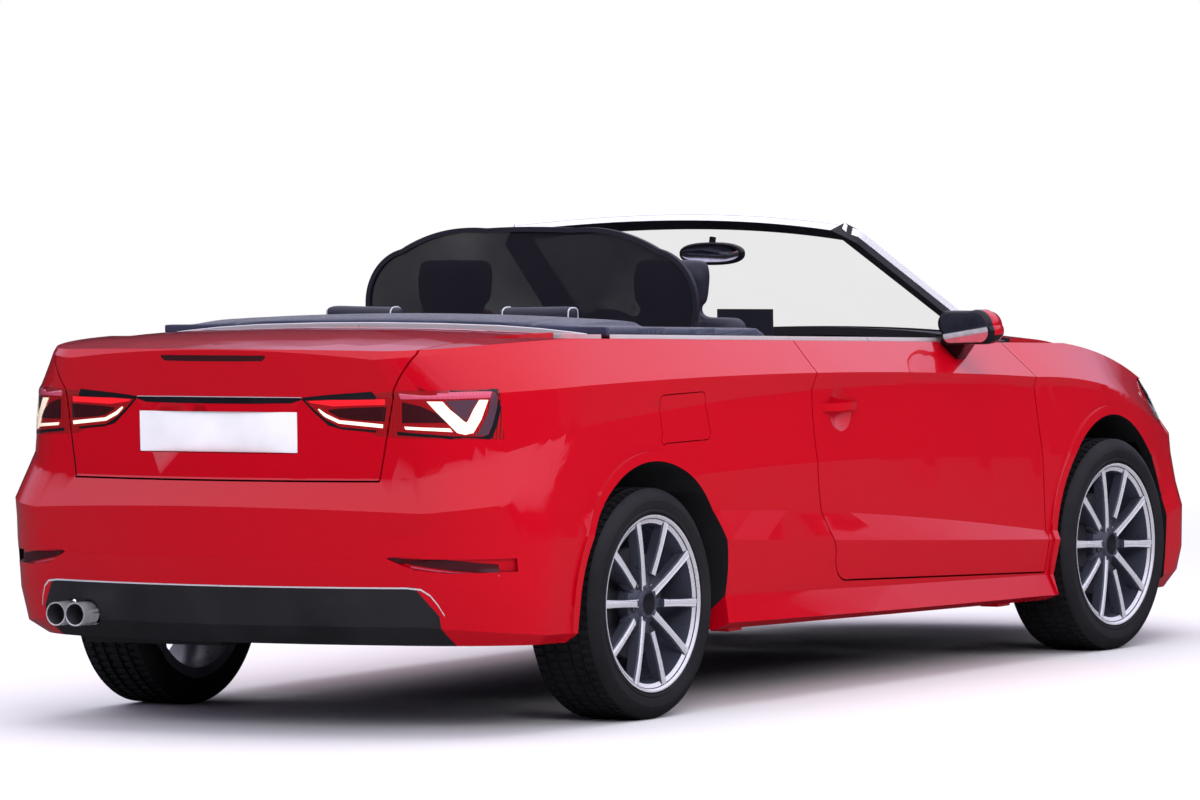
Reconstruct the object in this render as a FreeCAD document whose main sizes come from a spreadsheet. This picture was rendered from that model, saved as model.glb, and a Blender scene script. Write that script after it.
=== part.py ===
import FreeCAD, Part
import math
import os
import re
import Sketcher
from FreeCAD import Rotation, Vector

# Four seat convertible car with its soft roof stowed.
# Frame: X forward, Y to the left, Z up, millimetres, origin on the ground below the middle.

doc = FreeCAD.newDocument("Convertible")
sheet = doc.addObject("Spreadsheet::Sheet", "Dims")

# Driving dimensions: alias, value, meaning.
SIZES = (
    ("wheelbase", 2595, "front axle to rear axle"),
    ("rear_axle", -1296.5, "X of the rear axle"),
    ("track_front", 1555, "tyre centre to tyre centre, front"),
    ("track_rear", 1526, "tyre centre to tyre centre, rear"),
    ("door_mid", -430, "X of the middle station of the side rails"),
    ("cowl", 850, "X of the rail joint at the front door seam"),
    ("crown_top", 1300, "Z of the flat cap above the body"),
    ("hem_height", 197, "Z of the underside plane at X zero"),
    ("hem_slope", -0.0241, "rise of the underside plane per millimetre of X"),
    ("skin", 26, "thickness of the outer panels"),
    ("shut_gap", 5, "gap round doors, lids and flap"),
    ("fit_gap", 0.3, "gap between pieces that seat on each other"),
    ("arch_radius", 371, "wheel opening"),
    ("arch_height", 338, "Z of the middle of the wheel openings"),
    ("lip_width", 28, "raised band round the wheel openings"),
    ("lip_rise", 7, "how far the band stands proud"),
    ("well_depth_front", 480, "Y of the inner wall of the front wheel wells"),
    ("well_depth_rear", 615, "Y of the inner wall of the rear wheel wells"),
    ("belt_height", 984, "Z of the belt plane at X zero"),
    ("belt_slope", -0.0466, "rise of the belt plane per millimetre of X"),
    ("bonnet_apex_x", 910, "X of the highest line of the bonnet surface"),
    ("bonnet_apex_z", 989, "Z of the highest line of the bonnet surface"),
    ("bonnet_radius", 2750, "fore and aft radius of the bonnet surface"),
    ("bonnet_crown", 45, "fall of the bonnet surface at the belt"),
    ("deck_apex_x", -1500, "X of the highest line of the rear deck"),
    ("deck_apex_z", 1080, "Z of the highest line of the rear deck"),
    ("deck_radius", 6500, "fore and aft radius of the rear deck"),
    ("deck_crown", 24, "fall of the rear deck at the belt"),
    ("deck_front", -855, "X at which the rear deck runs into the belt plane"),
    ("crown_half", 765, "Y at which the crowns are measured"),
    ("sill_line", 299.5, "Z of the sill seam at X zero"),
    ("sill_line_slope", -0.0468, "rise of the sill seam per millimetre of X"),
    ("sill_inner", 700, "Y of the inner face of the sills"),
    ("door_front_top", 813, "X of the front door seam at the belt"),
    ("door_front_low", 887, "X of the front door seam at the sill"),
    ("door_rear_top", -402, "X of the rear door seam at the belt"),
    ("door_rear_mid", -442, "X of the rear door seam at its middle"),
    ("door_rear_low", -352, "X of the rear door seam above its corner"),
    ("door_corner", -250, "X where the lower door corner ends"),
    ("door_mid_z", 666, "Z of the rearmost point of the rear door seam"),
    ("door_hem", 12, "depth of the outer door flange"),
    ("door_step", 12, "set back of the door body behind its flange"),
    ("door_step_front", 36, "set back at the hinge side"),
    ("jack_x", 760, "X of the jacking pads"),
    ("jack_y", 770, "Y of the jacking pads"),
    ("jack_tall", 12, "height of a jacking pad below the sill"),
    ("seal_y", 745, "Y of the door seal on the sill"),
    ("seal_wide", 14, "width of the door seal"),
    ("cabin_front", 890, "X of the front end of the cabin at the doors"),
    ("bulkhead", 1000, "X of the bulkhead behind the engine"),
    ("bulkhead_thick", 30, "thickness of the bulkheads"),
    ("cabin_rear", -1000, "X of the rear seat back panel"),
    ("cabin_top_half", 668, "Y of the door trim at the belt"),
    ("cabin_mid_half", 722, "Y of the door trim at the armrest pocket"),
    ("cabin_low_half", 699, "Y of the inner sill"),
    ("cabin_mid_z", 450, "Z of the widest line of the cabin"),
    ("rear_cabin_half", 600, "Y of the rear side trim"),
    ("floor_low", 205, "Z of the underside of the floor"),
    ("floor_top", 232, "Z of the floor"),
    ("bay_rear", -1330, "X of the rear edge of the roof well"),
    ("bay_half", 655, "Y of the side of the roof well"),
    ("bay_floor", 800, "Z of the floor of the roof well"),
    ("boot_floor", 345, "Z of the boot floor"),
    ("boot_half", 500, "Y of the boot side trim"),
    ("boot_rear", -2080, "X of the rear end of the boot opening"),
    ("floor_rear", -2040, "X of the rear panel"),
    ("sheet_thick", 27, "thickness of the floor panels"),
    ("engine_bay_half", 445, "Y of the inner wing"),
    ("lid_half_low", 505, "Y of the lid seam at its lower edge"),
    ("lid_half_mid", 517, "Y of the lid seam below the lamps"),
    ("lid_half_lamp", 547, "Y of the lid seam at the top of the lamps"),
    ("lid_half_top", 602, "Y of the lid seam on the deck"),
    ("lid_low", 690, "Z of the lower edge of the lid"),
    ("lid_front", -1342, "X of the front edge of the lid"),
    ("lid_gap", 13, "gap at the front edge of the lid"),
    ("lamp_top", 935, "Z of the top of the rear lamps"),
    ("lamp_low", 812, "Z of the bottom of the rear lamps at the lid"),
    ("lamp_low_outer", 798, "Z of the bottom of the rear lamps at the corner"),
    ("lamp_tip", 292, "Y of the inner tip of the lid lamps"),
    ("lamp_front", -1885, "X of the front end of the rear lamps"),
    ("lamp_deep", 60, "depth of the lamp units"),
    ("bumper_seam_x", -1540, "X of the rear bumper seam at the wheel"),
    ("bumper_seam_z", 616, "Z of the rear bumper seam at the wheel"),
    ("bumper_lamp_x", -1880, "X of the rear bumper seam at the lamp"),
    ("plate_wide", 524, "width of the number plate recess"),
    ("plate_low", 766, "Z of the lower edge of the recess"),
    ("plate_tall", 112, "height of the recess"),
    ("plate_deep", 22, "depth of the recess at the middle"),
    ("plate_hole", 3, "radius of the plate screw holes"),
    ("plate_hole_y", 110, "Y of the plate screw holes"),
    ("diffuser_top", 409, "Z of the upper edge of the lower rear valance"),
    ("diffuser_half_top", 600, "half width of the valance at its top"),
    ("diffuser_half_low", 655, "half width of the valance at its foot"),
    ("pipe_outer_y", 532, "Y of the outer tail pipe"),
    ("pipe_inner_y", 467, "Y of the inner tail pipe"),
    ("pipe_height", 318, "Z of the tail pipes"),
    ("pipe_radius", 33, "radius of the tail pipes"),
    ("nose_seam_x", 1545, "X of the front bumper seam at the wheel"),
    ("nose_seam_z", 612, "Z of the front bumper seam at the wheel"),
    ("nose_lamp_x", 1775, "X of the rear tip of the headlamp"),
    ("nose_lamp_z", 742, "Z of the rear tip of the headlamp"),
    ("bonnet_rear_side", 978, "X of the bonnet rear edge at its sides"),
    ("bonnet_rear_mid", 1150, "X of the bonnet rear edge at the middle"),
    ("bonnet_half_rear", 712, "Y of the bonnet seam at the cowl"),
    ("bonnet_half_front", 585, "Y of the bonnet seam at the lamps"),
    ("bonnet_lamp_x", 1900, "X where the bonnet seam turns to the nose"),
    ("bonnet_nose_x", 2074, "X of the bonnet front edge at the middle"),
    ("cowl_gap", 12, "gap between bonnet and cowl"),
    ("cowl_rear_side", 866, "X of the rear edge of the cowl at its sides"),
    ("cowl_rear_mid", 1012, "X of the rear edge of the cowl at the middle"),
    ("cowl_half", 704, "half width of the cowl"),
    ("cowl_drop", 6, "cowl below the bonnet surface"),
    ("cowl_thick", 24, "thickness of the cowl"),
    ("bar_count", 9, "bars of the grille"),
    ("bar_pitch", 46, "spacing of the grille bars"),
    ("bar_tall", 12, "height of a grille bar"),
    ("tyre_radius", 318.5, "225/40 R18 tyre"),
    ("tyre_width", 225, "tyre section width"),
    ("tread_width", 196, "flat tread"),
    ("bead_radius", 229, "rim seat"),
    ("rim_flange", 245, "rim flange radius"),
    ("rim_width", 214, "rim width over flanges"),
    ("rim_wall", 9, "rim barrel wall"),
    ("hub_radius", 72, "wheel hub disc"),
    ("hub_bore", 26, "bore of the wheel hub"),
    ("spoke_count", 10, "spokes of a wheel"),
    ("spoke_wide_hub", 34, "spoke width at the hub"),
    ("spoke_wide_rim", 26, "spoke width at the rim"),
    ("spoke_deep", 26, "spoke depth along the axle"),
    ("dish", 10, "face of the spokes behind the rim edge"),
    ("disc_radius", 152, "brake disc radius"),
    ("disc_thick", 22, "brake disc thickness"),
    ("disc_inset", 72, "disc middle inboard of the spoke face"),
    ("kingpin_y", 715, "Y of the steering axis"),
    ("pillar_deep", 44, "depth of the windscreen pillars"),
    ("pillar_wide", 50, "width of the windscreen pillars"),
    ("header_wide", 62, "width of the windscreen header"),
    ("glass_thick", 5, "windscreen glass"),
    ("roof_apex_x", -1165, "X of the highest line of the folded roof"),
    ("roof_apex_z", 1108, "Z of the highest line of the folded roof"),
    ("roof_radius", 1400, "fore and aft radius of the folded roof"),
    ("roof_crown", 26, "fall of the folded roof at its sides"),
    ("cover_tall", 36, "height of the side covers of the roof"),
    ("trim_wide", 14, "width of the belt trim"),
    ("trim_tall", 12, "height of the belt trim"),
    ("deflector_x", -550, "X of the wind deflector"),
    ("handle_x", -295, "X of the middle of the door handles"),
    ("handle_z", 812, "Z of the door handles"),
    ("handle_half", 103, "half length of a door handle"),
    ("handle_reach", 912, "Y of the outer face of a door handle"),
    ("handle_root", 868, "Y at which a handle enters the door"),
    ("handle_thick", 13, "thickness of a handle"),
    ("handle_tall", 22, "height of a handle"),
    ("cup_radius", 130, "radius of the hollow behind a handle"),
    ("cup_y", 990, "Y of the centre of that hollow"),
    ("slot_deep", 14, "depth of the slots in the rear bumper"),
    ("ring_radius", 171, "radius of the steering wheel ring"),
    ("ring_thick", 14, "half thickness of the steering wheel ring"),
    ("boss_radius", 52, "radius of the steering wheel boss"),
    ("boss_tall", 42, "height of the steering wheel boss"),
)

# Plan outlines of the body, from its hem to its belt. Columns: name; X, Z of the tail; Y, set
# in and drop of the tail corner; X, Y, Z of the flank; Y, Z at the door; Y, Z at the cowl; Y, Z
# at the front wheel; X, Y, Z of the fore corner; Y and set in of the nose corner; X, Z of the
# nose.
RAIL_COLUMNS = ("tail_x", "tail_z", "tail_y", "tail_in", "tail_drop",
                "flank_x", "flank_y", "flank_z",
                "door_y", "door_z", "cowl_y", "cowl_z", "wheel_y", "wheel_z",
                "fore_x", "fore_y", "fore_z", "nose_y", "nose_in", "nose_x", "nose_z")
RAILS = (
    ("sill", -2122, 300, 590, 75, 0, -1800, 848, 268, 884, 224, 884, 193, 878, 186,
     1790, 815, 205, 480, 75, 2150, 215),
    ("ledge", -2150, 409, 600, 80, 0, -1800, 863, 352, 866, 297, 866, 254, 868, 248,
     1790, 830, 275, 480, 75, 2164, 290),
    ("flare", -2168, 484, 610, 88, 0, -1780, 878, 530, 896, 439, 893, 361, 886, 355,
     1790, 835, 400, 480, 80, 2180.5, 420),
    ("facet", -2173, 545, 620, 92, 0, -1780, 873, 590, 875, 520, 880, 388, 878, 388,
     1780, 820, 470, 480, 85, 2179, 500),
    ("bulge", -2180.5, 624, 640, 92, 16, -1780, 864, 640, 887, 660, 885, 610, 881, 590,
     1790, 802, 560, 470, 85, 2171, 590),
    ("waist", -2134, 700, 600, 76, 0, -1600, 850, 818, 870, 864, 868, 812, 860, 775,
     1840, 775, 615, 460, 85, 2143, 680),
    ("shoulder", -2122, 917, 547, 57, 0, -1590, 853, 930, 884, 913, 878, 843, 858, 798,
     1850, 742, 655, 450, 85, 2108, 728),
    ("belt", -2140, 1046, 500, 40, 26, -1500, 773, 1050, 790, 1004, 763, 944, 738, 925,
     1850, 665, 815, 430, 75, 2064, 760),
)


def fill_sheet():
    """Write the driving dimensions and the rails into the sheet."""
    row = 1
    for alias, number, meaning in SIZES:
        sheet.set("A%d" % row, meaning)
        sheet.set("B%d" % row, str(number))
        sheet.setAlias("B%d" % row, alias)
        row += 1
    for rail in RAILS:
        for column, number in zip(RAIL_COLUMNS, rail[1:]):
            alias = rail[0] + "_" + column
            sheet.set("B%d" % row, str(number))
            sheet.setAlias("B%d" % row, alias)
            row += 1


fill_sheet()
doc.recompute()
NODES = {}


def size(alias):
    """Value of one cell of the sheet."""
    return float(sheet.get(alias))


FRONT_AXLE = size("rear_axle") + size("wheelbase")
REAR_AXLE = size("rear_axle")
RIGHT = -1
LEFT = 1
BIG = 3000.0
FAR = 2400.0


def side_view(a, b):
    return Vector(a, 0, b)


def rear_view(a, b):
    return Vector(0, a, b)


def plan_view(a, b):
    return Vector(a, b, 0)


def drawn(view, start, *steps):
    """Face in a view plane. A step is an end point, or the middle and the end of an arc."""
    edges = []
    here = view(*start)
    for step in steps + (start,):
        if len(step) == 2:
            there = view(*step)
            if here.distanceToPoint(there) > 1e-6:
                edges.append(Part.makeLine(here, there))
        else:
            there = view(*step[2:])
            edges.append(Part.Arc(here, view(*step[:2]), there).toShape())
        here = there
    return Part.Face(Part.Wire(edges))


def prism(face, low, high):
    """Face pushed along its normal axis from the low to the high coordinate."""
    box = face.BoundBox
    if box.YLength < 1e-6:
        axis = Vector(0, 1, 0)
    elif box.XLength < 1e-6:
        axis = Vector(1, 0, 0)
    else:
        axis = Vector(0, 0, 1)
    solid = face.translated(axis * low).extrude(axis * (high - low))
    return solid


def cuboid(x_low, x_high, y_low, y_high, z_low, z_high):
    return Part.makeBox(x_high - x_low, y_high - y_low, z_high - z_low, Vector(x_low, y_low, z_low))


def inset(face, gap):
    return face.makeOffset2D(-gap)


def mirrored(shape):
    return shape.mirror(Vector(0, 0, 0), Vector(0, 1, 0))


def conic(start, start_way, end, end_way, level):
    """Corner curve that leaves start along start_way and meets end along end_way."""
    cross = start_way.x * end_way.y - start_way.y * end_way.x
    gap = end - start
    reach = (gap.x * end_way.y - gap.y * end_way.x) / cross
    pole = start + start_way * reach
    pole.z = level(pole.x) if level else (start.z + end.z) / 2
    curve = Part.BezierCurve()
    curve.setPoles([start, pole, end])
    curve.setWeight(2, math.sqrt(0.5))
    return curve.toShape()


def rail_stations(name, grow):
    """Stations of the right half of a rail, from the tail to the nose."""
    def cell(column):
        return size(name + "_" + column)
    tail = Vector(cell("tail_x") - grow, 0, cell("tail_z"))
    tail_corner = Vector(tail.x + cell("tail_in"), -cell("tail_y"), tail.z - cell("tail_drop"))
    flank = Vector(cell("flank_x"), -cell("flank_y") - grow, cell("flank_z"))
    door = Vector(size("door_mid"), -cell("door_y") - grow, cell("door_z"))
    cowl = Vector(size("cowl"), -cell("cowl_y") - grow, cell("cowl_z"))
    wheel = Vector(FRONT_AXLE, -cell("wheel_y") - grow, cell("wheel_z"))
    fore = Vector(cell("fore_x"), -cell("fore_y") - grow, cell("fore_z"))
    nose = Vector(cell("nose_x") + grow, 0, cell("nose_z"))
    nose_corner = Vector(nose.x - cell("nose_in"), -cell("nose_y"), nose.z)
    return [tail, tail_corner, flank, door, cowl, wheel, fore, nose_corner, nose]


def rail_wire(stations, level=None):
    """Closed outline through the stations of a rail and their mirror images."""
    tail, tail_corner, flank, door, cowl, wheel, fore, nose_corner, nose = stations

    def flip(point):
        return Vector(point.x, -point.y, point.z)
    back = Part.Arc(flip(tail_corner), tail, tail_corner).toShape()
    front = Part.Arc(nose_corner, nose, flip(nose_corner)).toShape()
    side = Part.Arc(flank, door, cowl).toShape()
    wing = Part.Arc(cowl, wheel, fore).toShape()
    corner = conic(tail_corner, back.tangentAt(back.LastParameter),
                   flank, side.tangentAt(side.FirstParameter), level)
    brow = conic(fore, wing.tangentAt(wing.LastParameter),
                 nose_corner, front.tangentAt(front.FirstParameter), level)
    left = [mirrored(edge) for edge in (brow, wing, side, corner)]
    return Part.Wire([back, corner, side, wing, brow, front] + left)


def hem_plane(x):
    return size("hem_height") + size("hem_slope") * x


def envelope(grow):
    """Closed body form, grown or shrunk sideways and at its ends."""
    sill = rail_stations("sill", grow)
    hem = [Vector(p.x * 0.975, p.y * 0.91, 0) for p in sill[:2]]
    hem += [Vector(p.x * 0.99, p.y * 0.955, 0) for p in sill[2:]]
    for point in hem:
        point.z = hem_plane(point.x)
    belt = rail_stations("belt", grow)
    crown = [Vector(p.x * 0.93, p.y * 0.84, size("crown_top")) for p in belt]
    wires = [rail_wire(hem, hem_plane)]
    wires += [rail_wire(rail_stations(rail[0], grow)) for rail in RAILS]
    wires.append(rail_wire(crown))
    solid = Part.makeLoft(wires, True, True)
    return solid


def crowned(apex_x, apex_z, radius, crown, x_low, x_high):
    """Solid below a crowned surface that is round fore and aft and across."""
    half = 1000.0
    drop = crown * (half / size("crown_half")) ** 2
    deep = 1200.0
    edge = Part.Arc(Vector(apex_x, -half, apex_z - drop), Vector(apex_x, 0, apex_z),
                    Vector(apex_x, half, apex_z - drop)).toShape()
    corners = [Vector(apex_x, half, apex_z - drop), Vector(apex_x, half, apex_z - deep),
               Vector(apex_x, -half, apex_z - deep), Vector(apex_x, -half, apex_z - drop)]
    lines = [Part.makeLine(a, b) for a, b in zip(corners, corners[1:])]
    face = Part.Face(Part.Wire([edge] + lines))
    centre = Vector(apex_x, 0, apex_z - radius)
    start = math.degrees(math.asin((x_low - apex_x) / radius))
    sweep = math.degrees(math.asin((x_high - apex_x) / radius)) - start
    face.rotate(centre, Vector(0, 1, 0), start)
    return face.revolve(centre, Vector(0, 1, 0), sweep)


def under_bonnet(grow):
    return crowned(size("bonnet_apex_x"), size("bonnet_apex_z") + grow,
                   size("bonnet_radius") + grow, size("bonnet_crown"), 650, FAR)


def under_deck(grow):
    deck = crowned(size("deck_apex_x"), size("deck_apex_z") + grow,
                   size("deck_radius") + grow, size("deck_crown"), -FAR,
                   size("deck_front") + 150)
    return deck.fuse(cuboid(size("deck_front") - 1, 0, -BIG / 2, BIG / 2, 0, size("crown_top")))


def belt_plane(x):
    return size("belt_height") + size("belt_slope") * x


def under_belt(grow):
    face = drawn(side_view, (-FAR, 0), (-FAR, belt_plane(-FAR) + grow),
                 (FAR, belt_plane(FAR) + grow), (FAR, 0))
    return prism(face, -BIG / 2, BIG / 2)


def sill_seam(x):
    return size("sill_line") + size("sill_line_slope") * x


def round_y(x, z, radius, y_low, y_high):
    """Round bar across the car."""
    return Part.makeCylinder(radius, y_high - y_low, Vector(x, y_low, z), Vector(0, 1, 0))


def feature(label, shape):
    """Sub-part whose shape comes from the functions above."""
    part = doc.addObject("Part::Feature", label)
    part.Label = label
    if shape.ShapeType == "Compound" and len(shape.Solids) == 1:
        shape = shape.Solids[0]
    part.Shape = shape
    NODES[label] = part
    return part


def pair(stem, right_shape):
    feature("right_" + stem, right_shape)
    feature("left_" + stem, mirrored(right_shape))


# Body form with the raised bands of the wheel openings.
BODY = envelope(0)
GROWN = envelope(size("lip_rise"))
INNER = envelope(-size("skin"))
HEM = envelope(-size("door_hem"))
for axle in (FRONT_AXLE, REAR_AXLE):
    band = round_y(axle, size("arch_height"), size("arch_radius") + size("lip_width"), -BIG, BIG)
    band = band.cut(round_y(axle, size("arch_height"), size("arch_radius") - 60, -BIG, BIG))
    band = band.cut(cuboid(-FAR, FAR, -760, 760, -BIG, BIG))
    BODY = BODY.fuse(GROWN.common(band))

# Regions of the panels in side, rear and plan view.
belt_over = 1400.0
DOOR = drawn(
    side_view, (size("door_front_top") - 15, belt_over),
    (size("door_front_low"), sill_seam(size("door_front_low"))),
    (size("door_corner"), sill_seam(size("door_corner"))),
    (size("door_corner") - 68, 332, size("door_rear_low"), 400),
    (size("door_rear_mid"), size("door_mid_z"), size("door_rear_top"), 1010),
    (size("door_rear_top"), belt_over))
SILL = drawn(side_view, (-1250, 0), (-1250, sill_seam(-1250)), (1250, sill_seam(1250)), (1250, 0))
TAIL = drawn(
    side_view, (-1330, 0), (-1330, 520), (size("bumper_seam_x"), size("bumper_seam_z")),
    (size("bumper_lamp_x"), size("lamp_low_outer")), (size("lamp_front"), size("lamp_low_outer")),
    (size("lamp_front"), size("lamp_low") + 20), (-FAR, size("lamp_low") + 20), (-FAR, 0))
NOSE = drawn(
    side_view, (1330, 0), (1330, 520), (size("nose_seam_x"), size("nose_seam_z")),
    (size("nose_lamp_x"), size("nose_lamp_z")), (1860, 900), (FAR, 900), (FAR, 0))
LID = drawn(
    rear_view, (-size("lid_half_low"), size("lid_low")),
    (-size("lid_half_mid"), 761), (-size("lid_half_lamp"), size("lamp_top")),
    (-size("lid_half_top"), 1032), (-size("lid_half_top"), belt_over),
    (size("lid_half_top"), belt_over), (size("lid_half_top"), 1032),
    (size("lid_half_lamp"), size("lamp_top")), (size("lid_half_mid"), 761),
    (size("lid_half_low"), size("lid_low")))
LAMP = drawn(
    rear_view, (-500, size("lamp_low")), (-500, size("lamp_top")), (-1000, size("lamp_top")),
    (-1000, size("lamp_low_outer")), (-815, size("lamp_low_outer")))
LID_LAMP = drawn(
    rear_view, (-size("lamp_tip"), 914), (-size("lid_half_lamp") - 20, size("lamp_top")),
    (-525, size("lamp_low")), (-500, size("lamp_low")), (-size("lamp_tip") - 30, 884))
BONNET = drawn(
    plan_view, (size("bonnet_rear_side"), -size("bonnet_half_rear")),
    (size("bonnet_rear_mid"), 0, size("bonnet_rear_side"), size("bonnet_half_rear")),
    (size("bonnet_lamp_x"), size("bonnet_half_front")),
    (size("bonnet_nose_x"), 0, size("bonnet_lamp_x"), -size("bonnet_half_front")))
HEADLAMP = drawn(
    rear_view, (-440, 668), (-425, 716), (-560, 772), (-740, 800), (-1000, 800),
    (-1000, 735), (-700, 655), (-560, 640))

# Hollows of the body.
cabin_face = drawn(
    rear_view, (-size("cabin_low_half"), size("floor_top")),
    (-size("cabin_mid_half"), size("cabin_mid_z")), (-size("cabin_top_half"), 1000),
    (-size("cabin_top_half"), belt_over), (size("cabin_top_half"), belt_over),
    (size("cabin_top_half"), 1000), (size("cabin_mid_half"), size("cabin_mid_z")),
    (size("cabin_low_half"), size("floor_top")))
CABIN = prism(cabin_face, size("door_rear_mid"), size("cabin_front"))
REAR_CABIN = cuboid(size("cabin_rear"), size("door_rear_mid") + 1, -size("rear_cabin_half"),
                    size("rear_cabin_half"), size("floor_top"), belt_over)
BAY = cuboid(size("bay_rear"), size("cabin_rear") + 1, -size("bay_half"), size("bay_half"),
             size("bay_floor"), belt_over)
BOOT = cuboid(size("boot_rear"), size("cabin_rear") + 1, -size("boot_half"), size("boot_half"),
              size("boot_floor"), belt_over)
UNDER_BOOT = cuboid(size("boot_rear"), size("cabin_rear") + 1, -size("boot_half"),
                    size("boot_half"), 0, size("boot_floor"))
FOOTWELL = cuboid(size("cabin_front") - 1, size("bulkhead"), -size("engine_bay_half"),
                  size("engine_bay_half"), 0, belt_over)
ENGINE_BAY = cuboid(size("bulkhead"), 2070, -size("engine_bay_half"),
                    size("engine_bay_half"), 0, belt_over)
UNDER_CABIN = cuboid(size("cabin_rear"), size("bulkhead") + size("bulkhead_thick"),
                     -size("sill_inner"), size("sill_inner"), 0, size("floor_top"))
UNDER_SEAT = cuboid(size("cabin_rear"), size("cabin_rear") + 129, -size("rear_cabin_half"),
                    size("rear_cabin_half"), 0, size("boot_floor"))
COWL = drawn(plan_view, (size("cowl_rear_side"), -size("cowl_half")),
             (size("bonnet_rear_side") - size("cowl_gap"), -size("cowl_half")),
             (size("bonnet_rear_mid") - size("cowl_gap"), 0,
              size("bonnet_rear_side") - size("cowl_gap"), size("cowl_half")),
             (size("cowl_rear_side"), size("cowl_half")),
             (size("cowl_rear_mid"), 0, size("cowl_rear_side"), -size("cowl_half")))
cowl_room = drawn(plan_view, (size("cabin_front") - 1, -size("cowl_half")),
                  (size("bonnet_rear_side") + 1, -size("cowl_half")),
                  (size("bonnet_rear_mid") + 1, 0, size("bonnet_rear_side") + 1,
                   size("cowl_half")),
                  (size("cabin_front") - 1, size("cowl_half")))
COWL_ROOM = prism(cowl_room, 880, belt_over)
axle_slots = [cuboid(axle - 80, axle + 80, -700, 0, 0, 430) for axle in (FRONT_AXLE, REAR_AXLE)]


def wheel_well(axle, inner):
    """Wheel opening and well on the right side."""
    opening = round_y(axle, size("arch_height"), size("arch_radius"), -BIG, -inner)
    return opening.fuse(cuboid(axle - size("arch_radius"), axle + size("arch_radius"),
                               -BIG, -inner, 0, size("arch_height")))


def skin_only(shape, under):
    """Outer wall of a panel: its solid less the body form drawn in by the panel thickness."""
    return shape.cut(INNER.common(under(-size("skin"))))


def right_half(x_low, x_high):
    return cuboid(x_low, x_high, -BIG, 0, -BIG, BIG)


door_hole = prism(DOOR, -BIG, 0)
sill_zone = prism(SILL, -BIG, 0)
tail_zone = prism(TAIL, -BIG, 0)
nose_zone = prism(NOSE, -BIG, 0)
lid_zone = prism(LID, -FAR, size("lid_front"))
lamp_zone = prism(LAMP, -FAR, size("lamp_front"))
bonnet_zone = prism(BONNET, 600, BIG)
headlamp_zone = prism(HEADLAMP, size("nose_lamp_x"), FAR)
rear_well = wheel_well(REAR_AXLE, size("well_depth_rear"))
front_well = wheel_well(FRONT_AXLE, size("well_depth_front"))

# Doors: outer flange over a stepped body, open to the cabin.
flange = BODY.common(prism(inset(DOOR, size("shut_gap")), -BIG, 0)).common(under_belt(0))
core = HEM.common(prism(inset(DOOR, size("shut_gap") + size("door_step")), -BIG, 0))
core = core.common(under_belt(0))
core = core.cut(CABIN)
hinge_room = drawn(side_view, (size("door_front_top") - 15 - size("door_step_front"), belt_over),
                   (size("door_front_low") - size("door_step_front"), 200),
                   (1200, 200), (1200, belt_over))
core = core.cut(prism(hinge_room, -BIG, 0))
flange = flange.cut(HEM)
door = flange.fuse(core)
door = door.cut(Part.makeSphere(size("cup_radius"),
                                Vector(size("handle_x"), -size("cup_y"), size("handle_z"))))
handle_low = size("handle_x") - size("handle_half")
handle_high = size("handle_x") + size("handle_half")
handle_bar = drawn(
    plan_view, (handle_low, -size("handle_root")),
    (size("handle_x"), -size("handle_reach"), handle_high, -size("handle_root")),
    (handle_high - 1.5 * size("handle_thick"), -size("handle_root")),
    (size("handle_x"), size("handle_thick") - size("handle_reach"),
     handle_low + 1.5 * size("handle_thick"), -size("handle_root")))
door = door.fuse(prism(handle_bar, size("handle_z") - size("handle_tall") / 2,
                       size("handle_z") + size("handle_tall") / 2))
pair("door", door.removeSplitter())

# Quarters with the rear side trim, the wheel well and the roof well edge.
quarter = BODY.common(right_half(-FAR, size("door_corner"))).common(under_belt(0))
quarter = quarter.common(under_deck(0))
for zone in (door_hole, sill_zone, tail_zone, lid_zone, lamp_zone, rear_well, CABIN, REAR_CABIN,
             BAY, BOOT, UNDER_BOOT, UNDER_CABIN, UNDER_SEAT, axle_slots[1]):
    quarter = quarter.cut(zone)
FLAP = drawn(side_view, (-1228, 776), (-1236, 765, -1212, 752), (-1010, 752),
             (-990, 760, -984, 778), (-1000, 866), (-1008, 884, -1026, 888), (-1208, 888),
             (-1226, 882, -1232, 864))
flap_zone = prism(FLAP, -BIG, -600)
flap = BODY.common(prism(inset(FLAP, 3), -BIG, -600)).cut(HEM)
pocket = prism(inset(FLAP, 12), -BIG, -800)
feature("left_quarter", mirrored(quarter))
feature("right_quarter", quarter.cut(flap_zone.cut(envelope(-size("door_hem") - size("fit_gap"))))
        .cut(pocket))
feature("fuel_flap", flap)

# Sills between the wheel openings.
sill = BODY.common(right_half(-1250, 1250)).common(sill_zone)
for zone in (rear_well, front_well, cuboid(-FAR, FAR, -size("sill_inner"), BIG, -BIG, BIG)):
    sill = sill.cut(zone)
seal_rise = size("shut_gap") + size("door_step") - size("fit_gap")
SEAL = drawn(side_view, (-150, sill_seam(-150) - 10), (-150, sill_seam(-150) + seal_rise),
             (50, sill_seam(50) + seal_rise), (50, sill_seam(50) - 10))
sill = sill.fuse(prism(SEAL, -size("seal_y") - size("seal_wide"), -size("seal_y")))
for place in (-size("jack_x"), size("jack_x")):
    foot = hem_plane(place) - size("jack_tall")
    sill = sill.fuse(cuboid(place - 35, place + 35, -size("jack_y") - 30, -size("jack_y") + 30,
                            foot, foot + size("jack_tall") + 12))
pair("sill", sill)

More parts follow.
